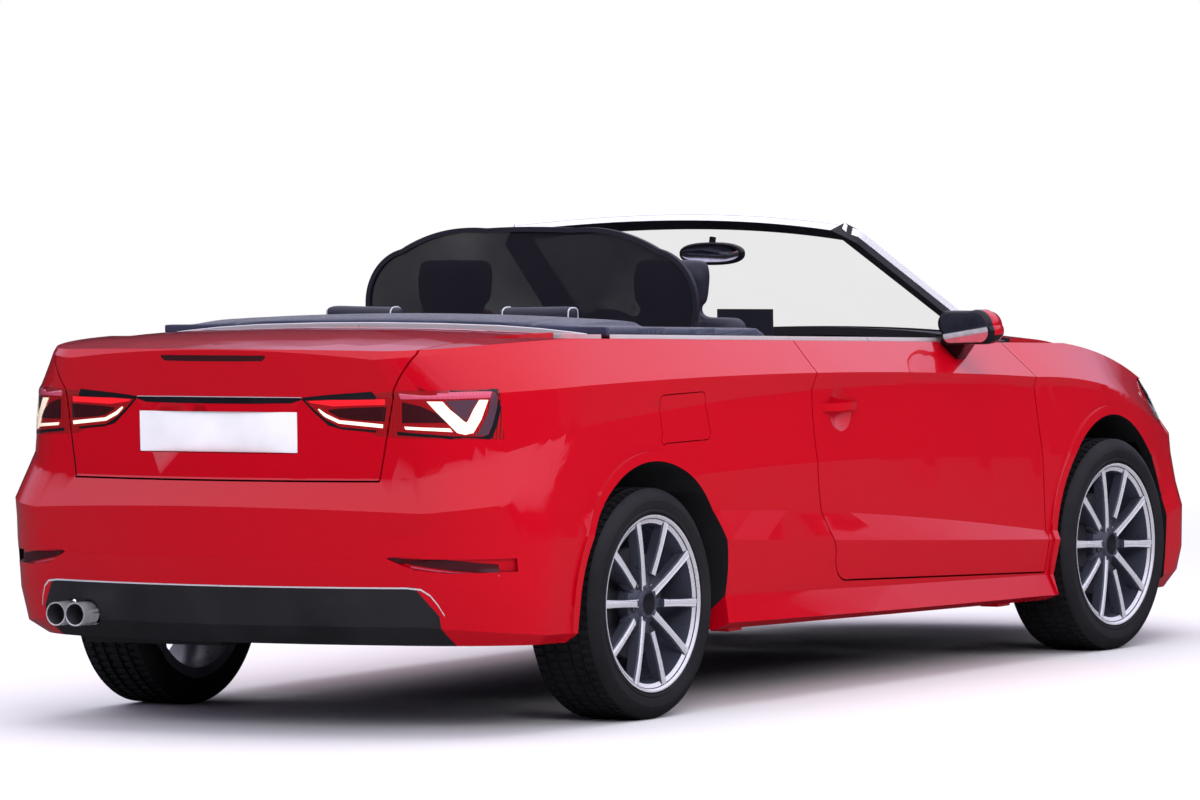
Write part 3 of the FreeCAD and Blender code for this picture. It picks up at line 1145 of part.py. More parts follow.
def write_parts():
    """Check every object, then write one STEP file for each node."""
    doc.recompute()
    for item in doc.Objects:
        if "Invalid" in item.State or "Error" in item.State:
            raise RuntimeError("failed object: " + item.Label)
    for label, part in NODES.items():
        if part.Shape.isNull() or not part.Shape.isValid():
            raise RuntimeError("bad shape: " + label)
    os.makedirs("parts", exist_ok=True)
    for label, part in NODES.items():
        part.Shape.exportStep("parts/%s.step" % label)
        print(label, len(part.Shape.Solids), round(part.Shape.Volume / 1e6, 2))


write_parts()
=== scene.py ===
"""Looks of a convertible car with its soft roof stowed: studio, finishes and dressed pieces."""

import logging
import math
from dataclasses import dataclass
from enum import Enum
from typing import Callable, Iterable, Optional, Sequence

import bmesh
import bpy
from mathutils import Matrix, Vector
from mathutils.bvhtree import BVHTree


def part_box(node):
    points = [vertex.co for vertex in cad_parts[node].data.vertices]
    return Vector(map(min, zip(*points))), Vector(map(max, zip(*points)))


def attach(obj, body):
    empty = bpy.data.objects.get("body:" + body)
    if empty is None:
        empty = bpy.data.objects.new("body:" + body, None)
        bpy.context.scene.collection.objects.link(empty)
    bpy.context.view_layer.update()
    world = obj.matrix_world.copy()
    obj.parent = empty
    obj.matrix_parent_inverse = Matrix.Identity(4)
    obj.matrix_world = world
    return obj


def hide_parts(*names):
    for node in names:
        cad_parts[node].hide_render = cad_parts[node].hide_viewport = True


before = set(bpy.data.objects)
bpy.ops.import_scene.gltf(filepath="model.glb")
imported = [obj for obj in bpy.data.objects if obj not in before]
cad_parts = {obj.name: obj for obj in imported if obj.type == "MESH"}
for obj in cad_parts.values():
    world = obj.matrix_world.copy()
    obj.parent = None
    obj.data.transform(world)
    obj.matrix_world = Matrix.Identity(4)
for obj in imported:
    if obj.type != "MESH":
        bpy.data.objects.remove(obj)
LOG = logging.getLogger("convertible")
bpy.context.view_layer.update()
MILLI = 0.001
WELD = 0.00002
INLAY_THICK = 0.0012
INLAY_CUTS = 3
NORMAL_WEIGHT = 60
FAR = 1.0
WHITE = (1, 1, 1, 1)
Point = tuple[float, float, float]
Colour = tuple[float, float, float]
Pair = tuple[float, float]
Profile = tuple[Pair, ...]
Run = tuple[Point, ...]
Stops = Sequence[tuple[float, Colour]]
Socket = bpy.types.NodeSocket
Mesh = bmesh.types.BMesh
Material = bpy.types.Material


class Slot(Enum):
    """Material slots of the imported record."""

    PAINT = "body_paint"
    BLACK = "black_plastic"
    SATIN = "satin_metal"
    BRIGHT = "bright_steel"
    ALLOY = "alloy"
    CAST = "cast_steel"
    TYRE = "tyre_rubber"
    RED_LAMP = "lamp_red"
    CLEAR_LAMP = "lamp_clear"
    ROOF = "roof_fabric"
    LEATHER = "seat_leather"
    MESH = "mesh_fabric"


class Side(Enum):
    """Side of the car, as the sign of Y."""

    RIGHT = -1
    LEFT = 1

    def run(self, points: Sequence[Point]) -> list[Point]:
        """Points of the right side in millimetres, as metres on this side."""
        return [(x * MILLI, -y * self.value * MILLI, z * MILLI) for x, y, z in points]

    def mirrored(self, point: Point) -> Vector:
        """Point or way of the right side, on this side."""
        return Vector((point[0], -point[1] * self.value, point[2]))

    def named(self, stem: str) -> str:
        """Name of a thing of this side."""
        return "%s_%s" % (self.name.lower(), stem)


class Cover(Enum):
    """Finishes of a painted panel, as the index of its material."""

    PAINT = 0
    TRIM = 1
    LINER = 2
    CARPET = 3


# Finishes


def toned(colour: Colour, factor: float, lift: float = 0.0) -> Colour:
    """Colour made darker or lighter, part by part."""
    return tuple(min(1.0, part * factor + lift) for part in colour)


class Nodes:
    """Node tree with short ways to add nodes and feed their inputs."""

    def __init__(self, tree: bpy.types.NodeTree) -> None:
        """Take a tree."""
        self.tree = tree

    def feed(self, target: Socket, value: object) -> None:
        """Give an input a value, or join another socket to it.

        Args:
            target: Input socket.
            value: Number, vector, colour or output socket.
        """
        if isinstance(value, Socket):
            self.tree.links.new(value, target)
        else:
            target.default_value = value

    def node(self, kind: str, out: str, inputs: dict, **settings: object) -> Socket:
        """Add a node and feed its inputs.

        Args:
            kind: Kind of shader node.
            out: Name of the output.
            inputs: Values or sockets, by the input's name or number.
            settings: Properties of the node.

        Returns:
            The output socket.
        """
        node = self.tree.nodes.new("ShaderNode" + kind)
        for key, value in settings.items():
            setattr(node, key, value)
        for key, value in inputs.items():
            self.feed(node.inputs[key], value)
        return node.outputs[out]

    def ramp(self, factor: Socket, stops: Stops) -> Socket:
        """Colour ramp over a factor.

        Args:
            factor: Factor socket.
            stops: Position and colour of each stop.

        Returns:
            The colour socket.
        """
        made = self.node("ValToRGB", "Color", {"Fac": factor})
        elements = made.node.color_ramp.elements
        while len(elements) < len(stops):
            elements.new(0.5)
        for element, (position, colour) in zip(elements, stops):
            element.position = position
            element.color = (*colour, 1.0)
        return made


class Graph(Nodes):
    """Node tree of one finish with a principled surface."""

    def __init__(self, name: str) -> None:
        """Start a material.

        Args:
            name: Name of the finish.
        """
        self.material = bpy.data.materials.new(name)
        self.material.use_nodes = True
        super().__init__(self.material.node_tree)
        self.surface = self.tree.nodes["Principled BSDF"]
        self.output = self.tree.nodes["Material Output"]
        self.place = self.node("TexCoord", "Object", {})

    def set(self, **values: object) -> None:
        """Feed inputs of the principled surface, with underscores for spaces."""
        for key, value in values.items():
            self.feed(self.surface.inputs[key.replace("_", " ")], value)

    def stretched(self, scale: Point) -> Socket:
        """Object coordinates scaled by axis."""
        return self.node("Mapping", "Vector", {"Vector": self.place, "Scale": scale})

    def noise(self, scale: float, detail: float, where: Optional[Socket] = None) -> Socket:
        """Noise over the piece.

        Args:
            scale: Scale of the noise per metre.
            detail: Octaves.
            where: Coordinates, or None for Object coordinates.

        Returns:
            The factor socket.
        """
        return self.node("TexNoise", "Fac", {"Scale": scale, "Detail": detail,
                                             "Vector": where or self.place})

    def cells(self, scale: float, feature: str = "F1") -> Socket:
        """Cell pattern over the piece, as its distance socket."""
        return self.node("TexVoronoi", "Distance", {"Scale": scale, "Vector": self.place},
                         feature=feature)

    def waves(self, scale: float, axis: str) -> Socket:
        """Straight bands across the piece, as their factor socket."""
        return self.node("TexWave", "Fac", {"Scale": scale, "Vector": self.place},
                         bands_direction=axis)

    def range(self, factor: Socket, low: float, high: float) -> Socket:
        """Factor remapped from 0..1 to a range."""
        return self.node("MapRange", "Result", {"To Min": low, "To Max": high, "Value": factor})

    def maths(self, operation: str, *values: object) -> Socket:
        """Arithmetic on sockets or values."""
        return self.node("Math", "Value", dict(enumerate(values)), operation=operation)

    def bump(self, height: Socket, distance: float, strength: float) -> None:
        """Add a bump under what the surface already has.

        Args:
            height: Height socket.
            distance: Height of the relief in metres.
            strength: Strength of the relief.
        """
        normal = self.surface.inputs["Normal"]
        inputs = {"Strength": strength, "Distance": distance, "Height": height}
        if normal.is_linked:
            inputs["Normal"] = normal.links[0].from_socket
        self.feed(normal, self.node("Bump", "Normal", inputs))

    def blend(self, factor: Socket, places: Pair, one: Colour, two: Colour) -> None:
        """Drive the base colour from one colour to another.

        Args:
            factor: Factor socket.
            places: Factors at which the two colours stand alone.
            one: Colour at the first place.
            two: Colour at the second place.
        """
        self.set(Base_Color=self.ramp(factor, ((places[0], one), (places[1], two))))

    def roughness(self, factor: Socket, low: float, high: float) -> None:
        """Drive the roughness between two values."""
        self.set(Roughness=self.range(factor, low, high))


@dataclass(frozen=True)
class Paint:
    """Glossy body paint under clear coat."""

    name: str
    deep: Colour
    bright: Colour
    rough: float = 0.38
    shine: float = 0.06
    coat_rough: float = 0.012
    flake: Pair = (900.0, 2.0)
    stops: Pair = (0.35, 0.65)
    peel: Pair = (38.0, 1.0)
    peel_relief: Pair = (0.00004, 0.25)

    def material(self) -> Material:
        """Build the paint with its fine flake and the faint peel of the clear coat.

        Returns:
            The material.
        """
        graph = Graph(self.name)
        graph.blend(graph.noise(*self.flake), self.stops, self.deep, self.bright)
        graph.set(Roughness=self.rough, Coat_Weight=1.0, Coat_Roughness=self.coat_rough,
                  Specular_IOR_Level=self.shine)
        graph.bump(graph.noise(*self.peel), *self.peel_relief)
        return graph.material


@dataclass(frozen=True)
class Plastic:
    """Moulded plastic with a fine grain."""

    name: str
    colour: Colour
    rough: float
    grain: float = 900.0
    relief: float = 0.00012
    strength: float = 0.5
    light: Pair = (1.5, 0.004)
    tone: Pair = (6.0, 4.0)
    stops: Pair = (0.3, 0.8)
    gloss: Pair = (14.0, 4.0)
    spread: Pair = (-0.06, 0.08)

    def material(self) -> Material:
        """Build the plastic with grain, tone and gloss that vary a little.

        Returns:
            The material.
        """
        graph = Graph(self.name)
        graph.blend(graph.noise(*self.tone), self.stops, self.colour,
                    toned(self.colour, *self.light))
        graph.roughness(graph.noise(*self.gloss), self.rough + self.spread[0],
                        self.rough + self.spread[1])
        graph.bump(graph.cells(self.grain), self.relief, self.strength)
        return graph.material


@dataclass(frozen=True)
class Metal:
    """Bare or plated metal."""

    name: str
    colour: Colour
    rough: float
    brush: Point = (1.0, 1.0, 1.0)
    relief: float = 0.00002
    metallic: float = 1.0
    strength: float = 0.5
    shade: float = 0.82
    marks: Pair = (60.0, 6.0)
    stops: Pair = (0.35, 0.65)
    gloss: Pair = (9.0, 5.0)
    spread: Pair = (0.7, 1.5)

    def material(self) -> Material:
        """Build the metal with brushing or turning marks and uneven gloss.

        Returns:
            The material.
        """
        graph = Graph(self.name)
        marks = graph.noise(*self.marks, graph.stretched(self.brush))
        graph.blend(marks, self.stops, toned(self.colour, self.shade), self.colour)
        graph.roughness(graph.noise(*self.gloss), self.rough * self.spread[0],
                        self.rough * self.spread[1])
        graph.set(Metallic=self.metallic)
        graph.bump(marks, self.relief, self.strength)
        return graph.material


@dataclass(frozen=True)
class Rubber:
    """Tyre rubber, dusty in places."""

    name: str
    colour: Colour = (0.007, 0.007, 0.008)
    dust: Pair = (1.8, 0.003)
    tone: Pair = (5.0, 6.0)
    stops: Pair = (0.4, 0.9)
    gloss: Pair = (18.0, 4.0)
    rough: Pair = (0.55, 0.82)
    pores: Pair = (700.0, 3.0)
    relief: Pair = (0.00015, 0.6)

    def material(self) -> Material:
        """Build the rubber with fine pores and grey dust.

        Returns:
            The material.
        """
        graph = Graph(self.name)
        graph.blend(graph.noise(*self.tone), self.stops, self.colour,
                    toned(self.colour, *self.dust))
        graph.roughness(graph.noise(*self.gloss), *self.rough)
        graph.bump(graph.noise(*self.pores), *self.relief)
        return graph.material


@dataclass(frozen=True)
class Cloth:
    """Woven cloth of the soft roof."""

    name: str
    thread: Colour
    shade: Colour
    pitch: float = 420.0
    relief: Pair = (0.00035, 0.6)
    rough: float = 0.85
    sheen: Pair = (0.35, 0.4)
    tone: Pair = (7.0, 5.0)
    tone_share: float = 0.5
    stops: Pair = (0.35, 0.95)
    creases: Pair = (11.0, 3.0)
    crease_relief: Pair = (0.0015, 0.25)

    def material(self) -> Material:
        """Build the weave from two crossing sets of threads.

        Returns:
            The material.
        """
        graph = Graph(self.name)
        warp, weft, rise = (graph.waves(self.pitch, axis) for axis in "XYZ")
        weave = graph.maths("MULTIPLY", graph.maths("MAXIMUM", warp, rise), weft)
        tone = graph.maths("MULTIPLY_ADD", weave, self.tone_share, graph.noise(*self.tone))
        graph.blend(tone, self.stops, self.shade, self.thread)
        graph.set(Roughness=self.rough, Sheen_Weight=self.sheen[0],
                  Sheen_Roughness=self.sheen[1])
        graph.bump(weave, *self.relief)
        graph.bump(graph.noise(*self.creases), *self.crease_relief)
        return graph.material


@dataclass(frozen=True)
class Leather:
    """Grained leather of seats and wheel."""

    name: str
    colour: Colour
    rough: float = 0.42
    worn: Pair = (1.9, 0.006)
    tone: Pair = (4.0, 6.0)
    stops: Pair = (0.35, 0.85)
    gloss: Pair = (12.0, 5.0)
    spread: Pair = (-0.08, 0.14)
    grain: float = 420.0
    relief: Pair = (0.0004, 0.5)
    creases: Pair = (28.0, 5.0)
    crease_relief: Pair = (0.0012, 0.25)

    def material(self) -> Material:
        """Build the leather with pebbled grain, creases and worn gloss.

        Returns:
            The material.
        """
        graph = Graph(self.name)
        graph.blend(graph.noise(*self.tone), self.stops, self.colour,
                    toned(self.colour, *self.worn))
        graph.roughness(graph.noise(*self.gloss), self.rough + self.spread[0],
                        self.rough + self.spread[1])
        graph.bump(graph.cells(self.grain, "SMOOTH_F1"), *self.relief)
        graph.bump(graph.noise(*self.creases), *self.crease_relief)
        return graph.material


@dataclass(frozen=True)
class Lens:
    """Glossy moulded lamp lens."""

    name: str
    colour: Colour
    glow: float = 0.0
    flutes: float = 60.0
    shade: float = 0.45
    stops: Pair = (0.1, 0.8)
    rough: float = 0.22
    coat_rough: float = 0.02
    relief: Pair = (0.0004, 0.3)

    def material(self) -> Material:
        """Build the lens with its fine flutes under a smooth outer face.

        Returns:
            The material.
        """
        graph = Graph(self.name)
        flutes = graph.waves(self.flutes, "Y")
        graph.blend(flutes, self.stops, toned(self.colour, self.shade), self.colour)
        graph.set(Roughness=self.rough, Coat_Weight=1.0, Coat_Roughness=self.coat_rough)
        if self.glow:
            graph.set(Emission_Color=(*self.colour, 1.0), Emission_Strength=self.glow)
        graph.bump(flutes, *self.relief)
        return graph.material


@dataclass(frozen=True)
class Pane:
    """Clear or tinted sheet that is seen through."""

    name: str
    tint: Colour
    cover: float
    gloss: float = 0.02
    threads: float = 0.0
    shine: float = 0.5
    haze: Pair = (3.0, 5.0)
    spread: Pair = (0.85, 1.15)
    mesh: Pair = (0.75, 1.2)

    def material(self) -> Material:
        """Build a thin sheet: what it covers, what it lets through and its gloss.

        Returns:
            The material.
        """
        graph = Graph(self.name)
        graph.set(Roughness=self.gloss, Specular_IOR_Level=self.shine,
                  Base_Color=(*self.tint, 1.0))
        low, high = (min(1.0, self.cover * share) for share in self.spread)
        alpha = graph.range(graph.noise(*self.haze), low, high)
        if self.threads:
            net = graph.maths("MAXIMUM", graph.waves(self.threads, "Y"),
                              graph.waves(self.threads, "Z"))
            alpha = graph.maths("MULTIPLY", alpha, graph.range(net, *self.mesh))
        graph.set(Alpha=alpha)
        return graph.material


@dataclass(frozen=True)
class FloorFinish:
    """Pale studio floor that stays white behind the object."""

    name: str = "studio_floor"
    shade: float = 0.78
    mirrored_shade: float = 0.05
    near: float = 3.0
    far: float = 9.0
    rough: float = 0.8
    shine: float = 0.1

    def material(self) -> Material:
        """Build the floor: lit round the car, plain white further off, dark in the paint.

        Returns:
            The material.
        """
        graph = Graph(self.name)
        glossy = graph.node("LightPath", "Is Glossy Ray", {})
        camera = graph.node("LightPath", "Is Camera Ray", {})
        graph.set(Base_Color=graph.range(glossy, self.shade, self.mirrored_shade),
                  Roughness=self.rough, Specular_IOR_Level=self.shine)
        away = graph.node("VectorMath", "Value", {0: graph.place}, operation="LENGTH")
        fade = graph.node("MapRange", "Result", {"Value": away, "From Min": self.near,
                                                 "From Max": self.far},
                          interpolation_type="SMOOTHSTEP")
        white = graph.node("Emission", "Emission", {"Color": WHITE})
        mix = graph.node("MixShader", "Shader", {
            "Fac": graph.maths("MULTIPLY", fade, camera), 1: graph.surface.outputs["BSDF"],
            2: white})
        graph.feed(graph.output.inputs["Surface"], mix)
        return graph.material


class Palette:
    """All finishes of the car, each made once."""

    def __init__(self) -> None:
        """Make the finishes."""
        finishes = (
            Paint("red_clear_coat", (0.44, 0.0, 0.006), (0.54, 0.0005, 0.011)),
            Plastic("black_grained", (0.012, 0.012, 0.014), 0.5),
            Plastic("black_gloss", (0.006, 0.006, 0.008), 0.14, 300.0, 0.00002),
            Plastic("cabin_trim", (0.010, 0.011, 0.018), 0.55, 700.0, 0.0002),
            Plastic("wheel_liner", (0.008, 0.008, 0.009), 0.85, 260.0, 0.0008),
            # Dark red sheet laid in the bumper slots: painted shade of the recess in the red
            # paint.
            Plastic("slot_dark", (0.045, 0.0, 0.003), 0.4, 300.0, 0.00002),
            Plastic("boot_carpet", (0.025, 0.025, 0.028), 0.95, 500.0, 0.0012),
            Plastic("underbody", (0.020, 0.020, 0.022), 0.75, 180.0, 0.0006),
            Metal("satin_strip", (0.90, 0.91, 0.93), 0.28, (1.0, 30.0, 30.0), 0.00002, 0.4),
            Metal("polished_pipe", (0.80, 0.80, 0.82), 0.10, metallic=0.6),
            Metal("machined_face", (0.82, 0.83, 0.86), 0.26, (8.0, 1.0, 8.0), 0.00003, 0.45),
            Metal("disc_steel", (0.42, 0.41, 0.40), 0.32, (20.0, 1.0, 20.0), 0.00004),
            Metal("cast_part", (0.16, 0.16, 0.17), 0.6, (1.0, 1.0, 1.0), 0.0004),
            Plastic("pocket_grey", (0.040, 0.044, 0.062), 0.28, 500.0, 0.00003),
            Rubber("tyre_black"),
            Cloth("roof_navy", (0.030, 0.038, 0.085), (0.010, 0.013, 0.034)),
            Leather("seat_navy", (0.011, 0.012, 0.022)),
            Lens("lens_red", (0.42, 0.004, 0.008)),
            Lens("lens_smoke", (0.050, 0.004, 0.006)),
            Lens("guide_red", (0.85, 0.012, 0.02), 0.55),
            Lens("guide_pale", (1.0, 0.84, 0.66), 0.75, 160.0),
            # Rose band of the tail lamps; on the bumper slot lips this glowing finish is a
            # painted highlight.
            Lens("band_rose", (0.72, 0.10, 0.18), 0.10, 120.0),
            Lens("corner_smoke", (0.11, 0.05, 0.075), 0.0, 200.0),
            Lens("lens_clear", (0.55, 0.56, 0.58)),
            Plastic("plate_white", (0.80, 0.80, 0.79), 0.35, 1500.0, 0.00004),
            Pane("screen_clear", (0.02, 0.035, 0.03), 0.10),
            Pane("net_dark", (0.006, 0.006, 0.012), 0.80, 0.6, 260.0),
            Metal("mirror_silver", (0.80, 0.82, 0.84), 0.03),
            Plastic("piping_silver", (0.55, 0.57, 0.62), 0.4, 300.0, 0.00003),
        )
        self.made = {finish.name: finish.material() for finish in finishes}

    def pick(self, *names: str) -> list[Material]:
        """Finishes by name."""
        return [self.made[name] for name in names]


# Mesh tools


def shown(name: str, data: bpy.types.ID) -> bpy.types.Object:
    """Put a mesh, lamp or camera in the scene.

    Args:
        name: Name of the object.
        data: Its data.

    Returns:
        The object.
    """
    made = bpy.data.objects.new(name, data)
    bpy.context.scene.collection.objects.link(made)
    return made


def spun(points: Sequence[Pair], steps: int) -> Mesh:
    """Turn a profile about the Y axis.

    Args:
        points: Radius and height along Y of each corner, in millimetres.
        steps: Steps of a full turn.

    Returns:
        The turned shell.
    """
    bm = bmesh.new()
    verts = [bm.verts.new((radius * MILLI, along * MILLI, 0)) for radius, along in points]
    edges = [bm.edges.new(pair) for pair in zip(verts, verts[1:])]
    bmesh.ops.spin(bm, geom=verts + edges, cent=(0, 0, 0), axis=(0, 1, 0), dvec=(0, 0, 0),
                   angle=2 * math.pi, steps=steps, use_merge=True)
    bmesh.ops.remove_doubles(bm, verts=bm.verts, dist=WELD)
    bmesh.ops.recalc_face_normals(bm, faces=bm.faces)
    return bm


def block(low: Point, high: Point, bevel: float) -> Mesh:
    """Box between two corners with its edges rounded.

    Args:
        low: Lowest corner.
        high: Highest corner.
        bevel: Radius of the edges in metres.

    Returns:
        The box.
    """
    bm = bmesh.new()
    low_v, high_v = Vector(low), Vector(high)
    size = high_v - low_v
    matrix = Matrix.Translation((low_v + high_v) / 2) @ Matrix.Diagonal((*size, 1.0))
    bmesh.ops.create_cube(bm, size=1.0, matrix=matrix)
    bmesh.ops.bevel(bm, geom=bm.edges[:] + bm.verts[:], offset=bevel, segments=2,
                    affect="EDGES", profile=0.5, material=-1)
    return bm


def tube(points: Sequence[Point], radius: float, sides: int) -> Mesh:
    """Round bar along a run of points.

    Args:
        points: Middle of the bar at each station.
        radius: Radius in metres.
        sides: Sides of the bar.

    Returns:
        The bar with closed ends.
    """
    bm = bmesh.new()
    places = [Vector(point) for point in points]
    last = len(places) - 1
    rings = []
    for index, place in enumerate(places):
        way = (places[min(index + 1, last)] - places[max(index - 1, 0)]).normalized()
        matrix = Matrix.Translation(place) @ way.to_track_quat("Z", "Y").to_matrix().to_4x4()
        made = bmesh.ops.create_circle(bm, cap_ends=index in (0, last), segments=sides,
                                       radius=radius, matrix=matrix)
        ring = set(made["verts"])
        rings.append([edge for edge in bm.edges if set(edge.verts) <= ring])
    for one, two in zip(rings, rings[1:]):
        bmesh.ops.bridge_loops(bm, edges=one + two)
    bmesh.ops.recalc_face_normals(bm, faces=bm.faces)
    return bm


def ribbon(one: Sequence[Point], two: Sequence[Point], cuts: int) -> Mesh:
    """Strip of faces between two runs of points.

    Args:
        one: First run.
        two: Second run, with as many points.
        cuts: Extra divisions of every edge.

    Returns:
        The open strip.
    """
    bm = bmesh.new()
    edges = []
    for run in (one, two):
        verts = [bm.verts.new(point) for point in run]
        edges += [bm.edges.new(pair) for pair in zip(verts, verts[1:])]
    bmesh.ops.bridge_loops(bm, edges=edges)
    bmesh.ops.subdivide_edges(bm, edges=bm.edges[:], cuts=cuts, use_grid_fill=True)
    return bm


def joined(parts: Iterable[Mesh]) -> Mesh:
    """Put several meshes in one.

    Args:
        parts: The meshes, which are freed.

    Returns:
        The whole.
    """
    whole = bmesh.new()
    for part in parts:
        mesh = bpy.data.meshes.new("joining")
        part.to_mesh(mesh)
        part.free()
        whole.from_mesh(mesh)
        bpy.data.meshes.remove(mesh)
    return whole


def moved(bm: Mesh, matrix: Matrix) -> Mesh:
    """Place a mesh by a matrix."""
    bmesh.ops.transform(bm, matrix=matrix, verts=bm.verts)
    return bm


def thickened(bm: Mesh, offset: Vector) -> Mesh:
    """Give an open strip a body.

    Args:
        bm: The strip.
        offset: Way from its face to its back.

    Returns:
        The same mesh, closed.
    """
    made = bmesh.ops.extrude_face_region(bm, geom=bm.faces[:] + bm.edges[:] + bm.verts[:],
                                         use_keep_orig=True)
    verts = [item for item in made["geom"] if isinstance(item, bmesh.types.BMVert)]
    bmesh.ops.translate(bm, vec=offset, verts=verts)
    bmesh.ops.recalc_face_normals(bm, faces=bm.faces)
    return bm


def welded(*nodes: str) -> Mesh:
    """Copy CAD nodes and join their loose triangles.

    Args:
        nodes: Names of the nodes.

    Returns:
        One mesh of all of them.
    """
    bm = bmesh.new()
    for node in nodes:
        bm.from_mesh(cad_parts[node].data)
    bmesh.ops.remove_doubles(bm, verts=bm.verts, dist=WELD)
    bmesh.ops.dissolve_degenerate(bm, edges=bm.edges, dist=WELD)
    return bm


@dataclass
class Piece:
    """One visible piece: its mesh, where it rides and how it is finished."""

    name: str
    mesh: Mesh
    body: str
    slot: Slot
    finishes: Sequence[Material]
    sharp: float = 32.0
    bevel: float = 0.0
    smooth: int = 0
    weighted: bool = False

    def make(self, *stands_for: str) -> bpy.types.Object:
        """Make the object.

        Args:
            stands_for: CAD nodes that it replaces.

        Returns:
            The object in place, riding on its body.
        """
        data = bpy.data.meshes.new(self.name)
        self.mesh.to_mesh(data)
        self.mesh.free()
        for finish in self.finishes:
            data.materials.append(finish)
        data.shade_smooth()
        data.set_sharp_from_angle(angle=math.radians(self.sharp))
        made = shown(self.name, data)
        if self.bevel:
            edge = made.modifiers.new("edges", "BEVEL")
            edge.width = self.bevel
            edge.segments = 2
            edge.limit_method = "ANGLE"
            edge.angle_limit = math.radians(self.sharp)
            edge.use_clamp_overlap = False
            edge.harden_normals = False
        if self.smooth:
            round_off = made.modifiers.new("round", "SUBSURF")
            round_off.levels = self.smooth
            round_off.render_levels = self.smooth
        if self.weighted:
            even = made.modifiers.new("normals", "WEIGHTED_NORMAL")
            even.keep_sharp = True
            even.weight = NORMAL_WEIGHT
        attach(made, self.body)
        if stands_for:
            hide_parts(*stands_for)
        LOG.info("made %s on %s with %d faces", self.name, self.body, len(data.polygons))
        return made


class Skin:
    """Outer skin on which thin pieces are laid."""

    def __init__(self, surface: Mesh) -> None:
        """Read the surface."""
        self.tree = BVHTree.FromBMesh(surface)

    @classmethod
    def of(cls, *nodes: str) -> "Skin":
        """Skin of CAD nodes.

        Args:
            nodes: Names of the nodes.

        Returns:
            The skin.
        """
        bm = welded(*nodes)
        skin = cls(bm)
        bm.free()
        return skin

    def drop(self, bm: Mesh, start: float, lift: float) -> None:
        """Drop every point of a mesh on the skin along X; points that miss it go.

        Args:
            bm: Flat mesh drawn beside the skin.
            start: X from which the points are dropped.
            lift: Distance from the skin, towards the start.
        """
        way = Vector((-math.copysign(1.0, start), 0, 0))
        missed = []
        for vert in bm.verts:
            hit = self.tree.ray_cast(Vector((start, vert.co.y, vert.co.z)), way)[0]
            if hit is None:
                missed.append(vert)
            else:
                vert.co = hit - way * lift
        bmesh.ops.delete(bm, geom=missed, context="VERTS")

    def wrap(self, bm: Mesh, lift: float) -> None:
        """Move every point of a mesh to the nearest place on the skin.

        Args:
            bm: Mesh near the skin.
            lift: Distance from the skin.
        """
        for vert in bm.verts:
            place, normal = self.tree.find_nearest(vert.co)[:2]
            vert.co = place + normal * lift

    def inlay(self, one: Sequence[Point], two: Sequence[Point], lift: float,
              side: Side) -> Mesh:
        """Thin body between two runs of points, laid on the skin.

        Args:
            one: First run.
            two: Second run.
            lift: Distance of its face from the skin.
            side: Side of the car, from which its thickness goes inwards.

        Returns:
            The inlay.
        """
        bm = ribbon(one, two, INLAY_CUTS)
        self.wrap(bm, lift)
        return thickened(bm, side.mirrored((INLAY_THICK, INLAY_THICK, 0)))


# Body


@dataclass
class PaintedBody:
    """Painted panels with their linings."""

    palette: Palette
    axles: Pair = (1.2985, -1.2965)
    arch_height: float = 0.338
    well_radius: float = 0.374
    well_half: float = 0.862
    door_trim_half: float = 0.738
    cabin_half: float = 0.668
    cabin_rear: float = -1.36
    boot_half: float = 0.506
    bay_half: float = 0.5
    bay_rear: float = 1.0
    core_height: float = 0.55
    inner_reach: float = -0.05
    facing_in: float = 0.3
    facing_up: float = 0.5
    crease: float = 11.0
    flat: float = 0.7
    finishes: tuple[str, ...] = ("red_clear_coat", "cabin_trim", "wheel_liner", "boot_carpet")
    side_panels: tuple[str, ...] = ("quarter", "sill", "fender")
    middle_panels: tuple[tuple[str, str], ...] = (
        ("fuel_flap", "fuel_flap"), ("rear_bumper", "body"), ("front_bumper", "body"),
        ("bonnet", "bonnet"), ("boot_lid", "boot_lid"))

    def cover(self, node: str, centre: Vector, normal: Vector) -> Cover:
        """Choose the finish of one face.

        Args:
            node: CAD node of the panel.
            centre: Middle of the face.
            normal: Outward direction of the face.

        Returns:
            The finish.
        """
        inward = -math.copysign(1.0, centre.y) * normal.y > self.facing_in
        in_well = any(math.hypot(centre.x - axle, centre.z - self.arch_height)
                      < self.well_radius for axle in self.axles)
        half = abs(centre.y)
        core = Vector((centre.x, centre.y, centre.z - self.core_height))
        made = Cover.PAINT
        if "door" in node:
            if half < self.door_trim_half and (inward or normal.z > self.facing_up):
                made = Cover.TRIM
        elif in_well and half < self.well_half:
            made = Cover.LINER
        elif "quarter" in node:
            if half < self.cabin_half and centre.x > self.cabin_rear:
                made = Cover.TRIM
            elif half < self.boot_half:
                made = Cover.CARPET
        elif "fender" in node:
            if half < self.bay_half or (inward and centre.x < self.bay_rear):
                made = Cover.LINER
        elif "bumper" in node or node in ("bonnet", "boot_lid"):
            if core.dot(normal) < self.inner_reach:
                made = Cover.LINER
        return made

    def panel(self, node: str, body: str) -> None:
        """Dress one painted panel.

        Args:
            node: CAD node of the panel.
            body: Body it rides on.
        """
        bm = welded(node)
        for face in bm.faces:
            cover = self.cover(node, face.calc_center_median(), face.normal)
            face.material_index = cover.value
        bmesh.ops.dissolve_limit(bm, angle_limit=math.radians(self.flat), verts=bm.verts,
                                 edges=bm.edges, use_dissolve_boundaries=False,
                                 delimit={"MATERIAL"})
        Piece(node + "_skin", bm, body, Slot.PAINT,
              self.palette.pick(*self.finishes), self.crease,
              weighted=True).make(node)

    def build(self) -> None:
        """Dress all painted panels."""
        for side in Side:
            self.panel(side.named("door"), side.named("door"))
            for stem in self.side_panels:
                self.panel(side.named(stem), "body")
        for node, body in self.middle_panels:
            self.panel(node, body)


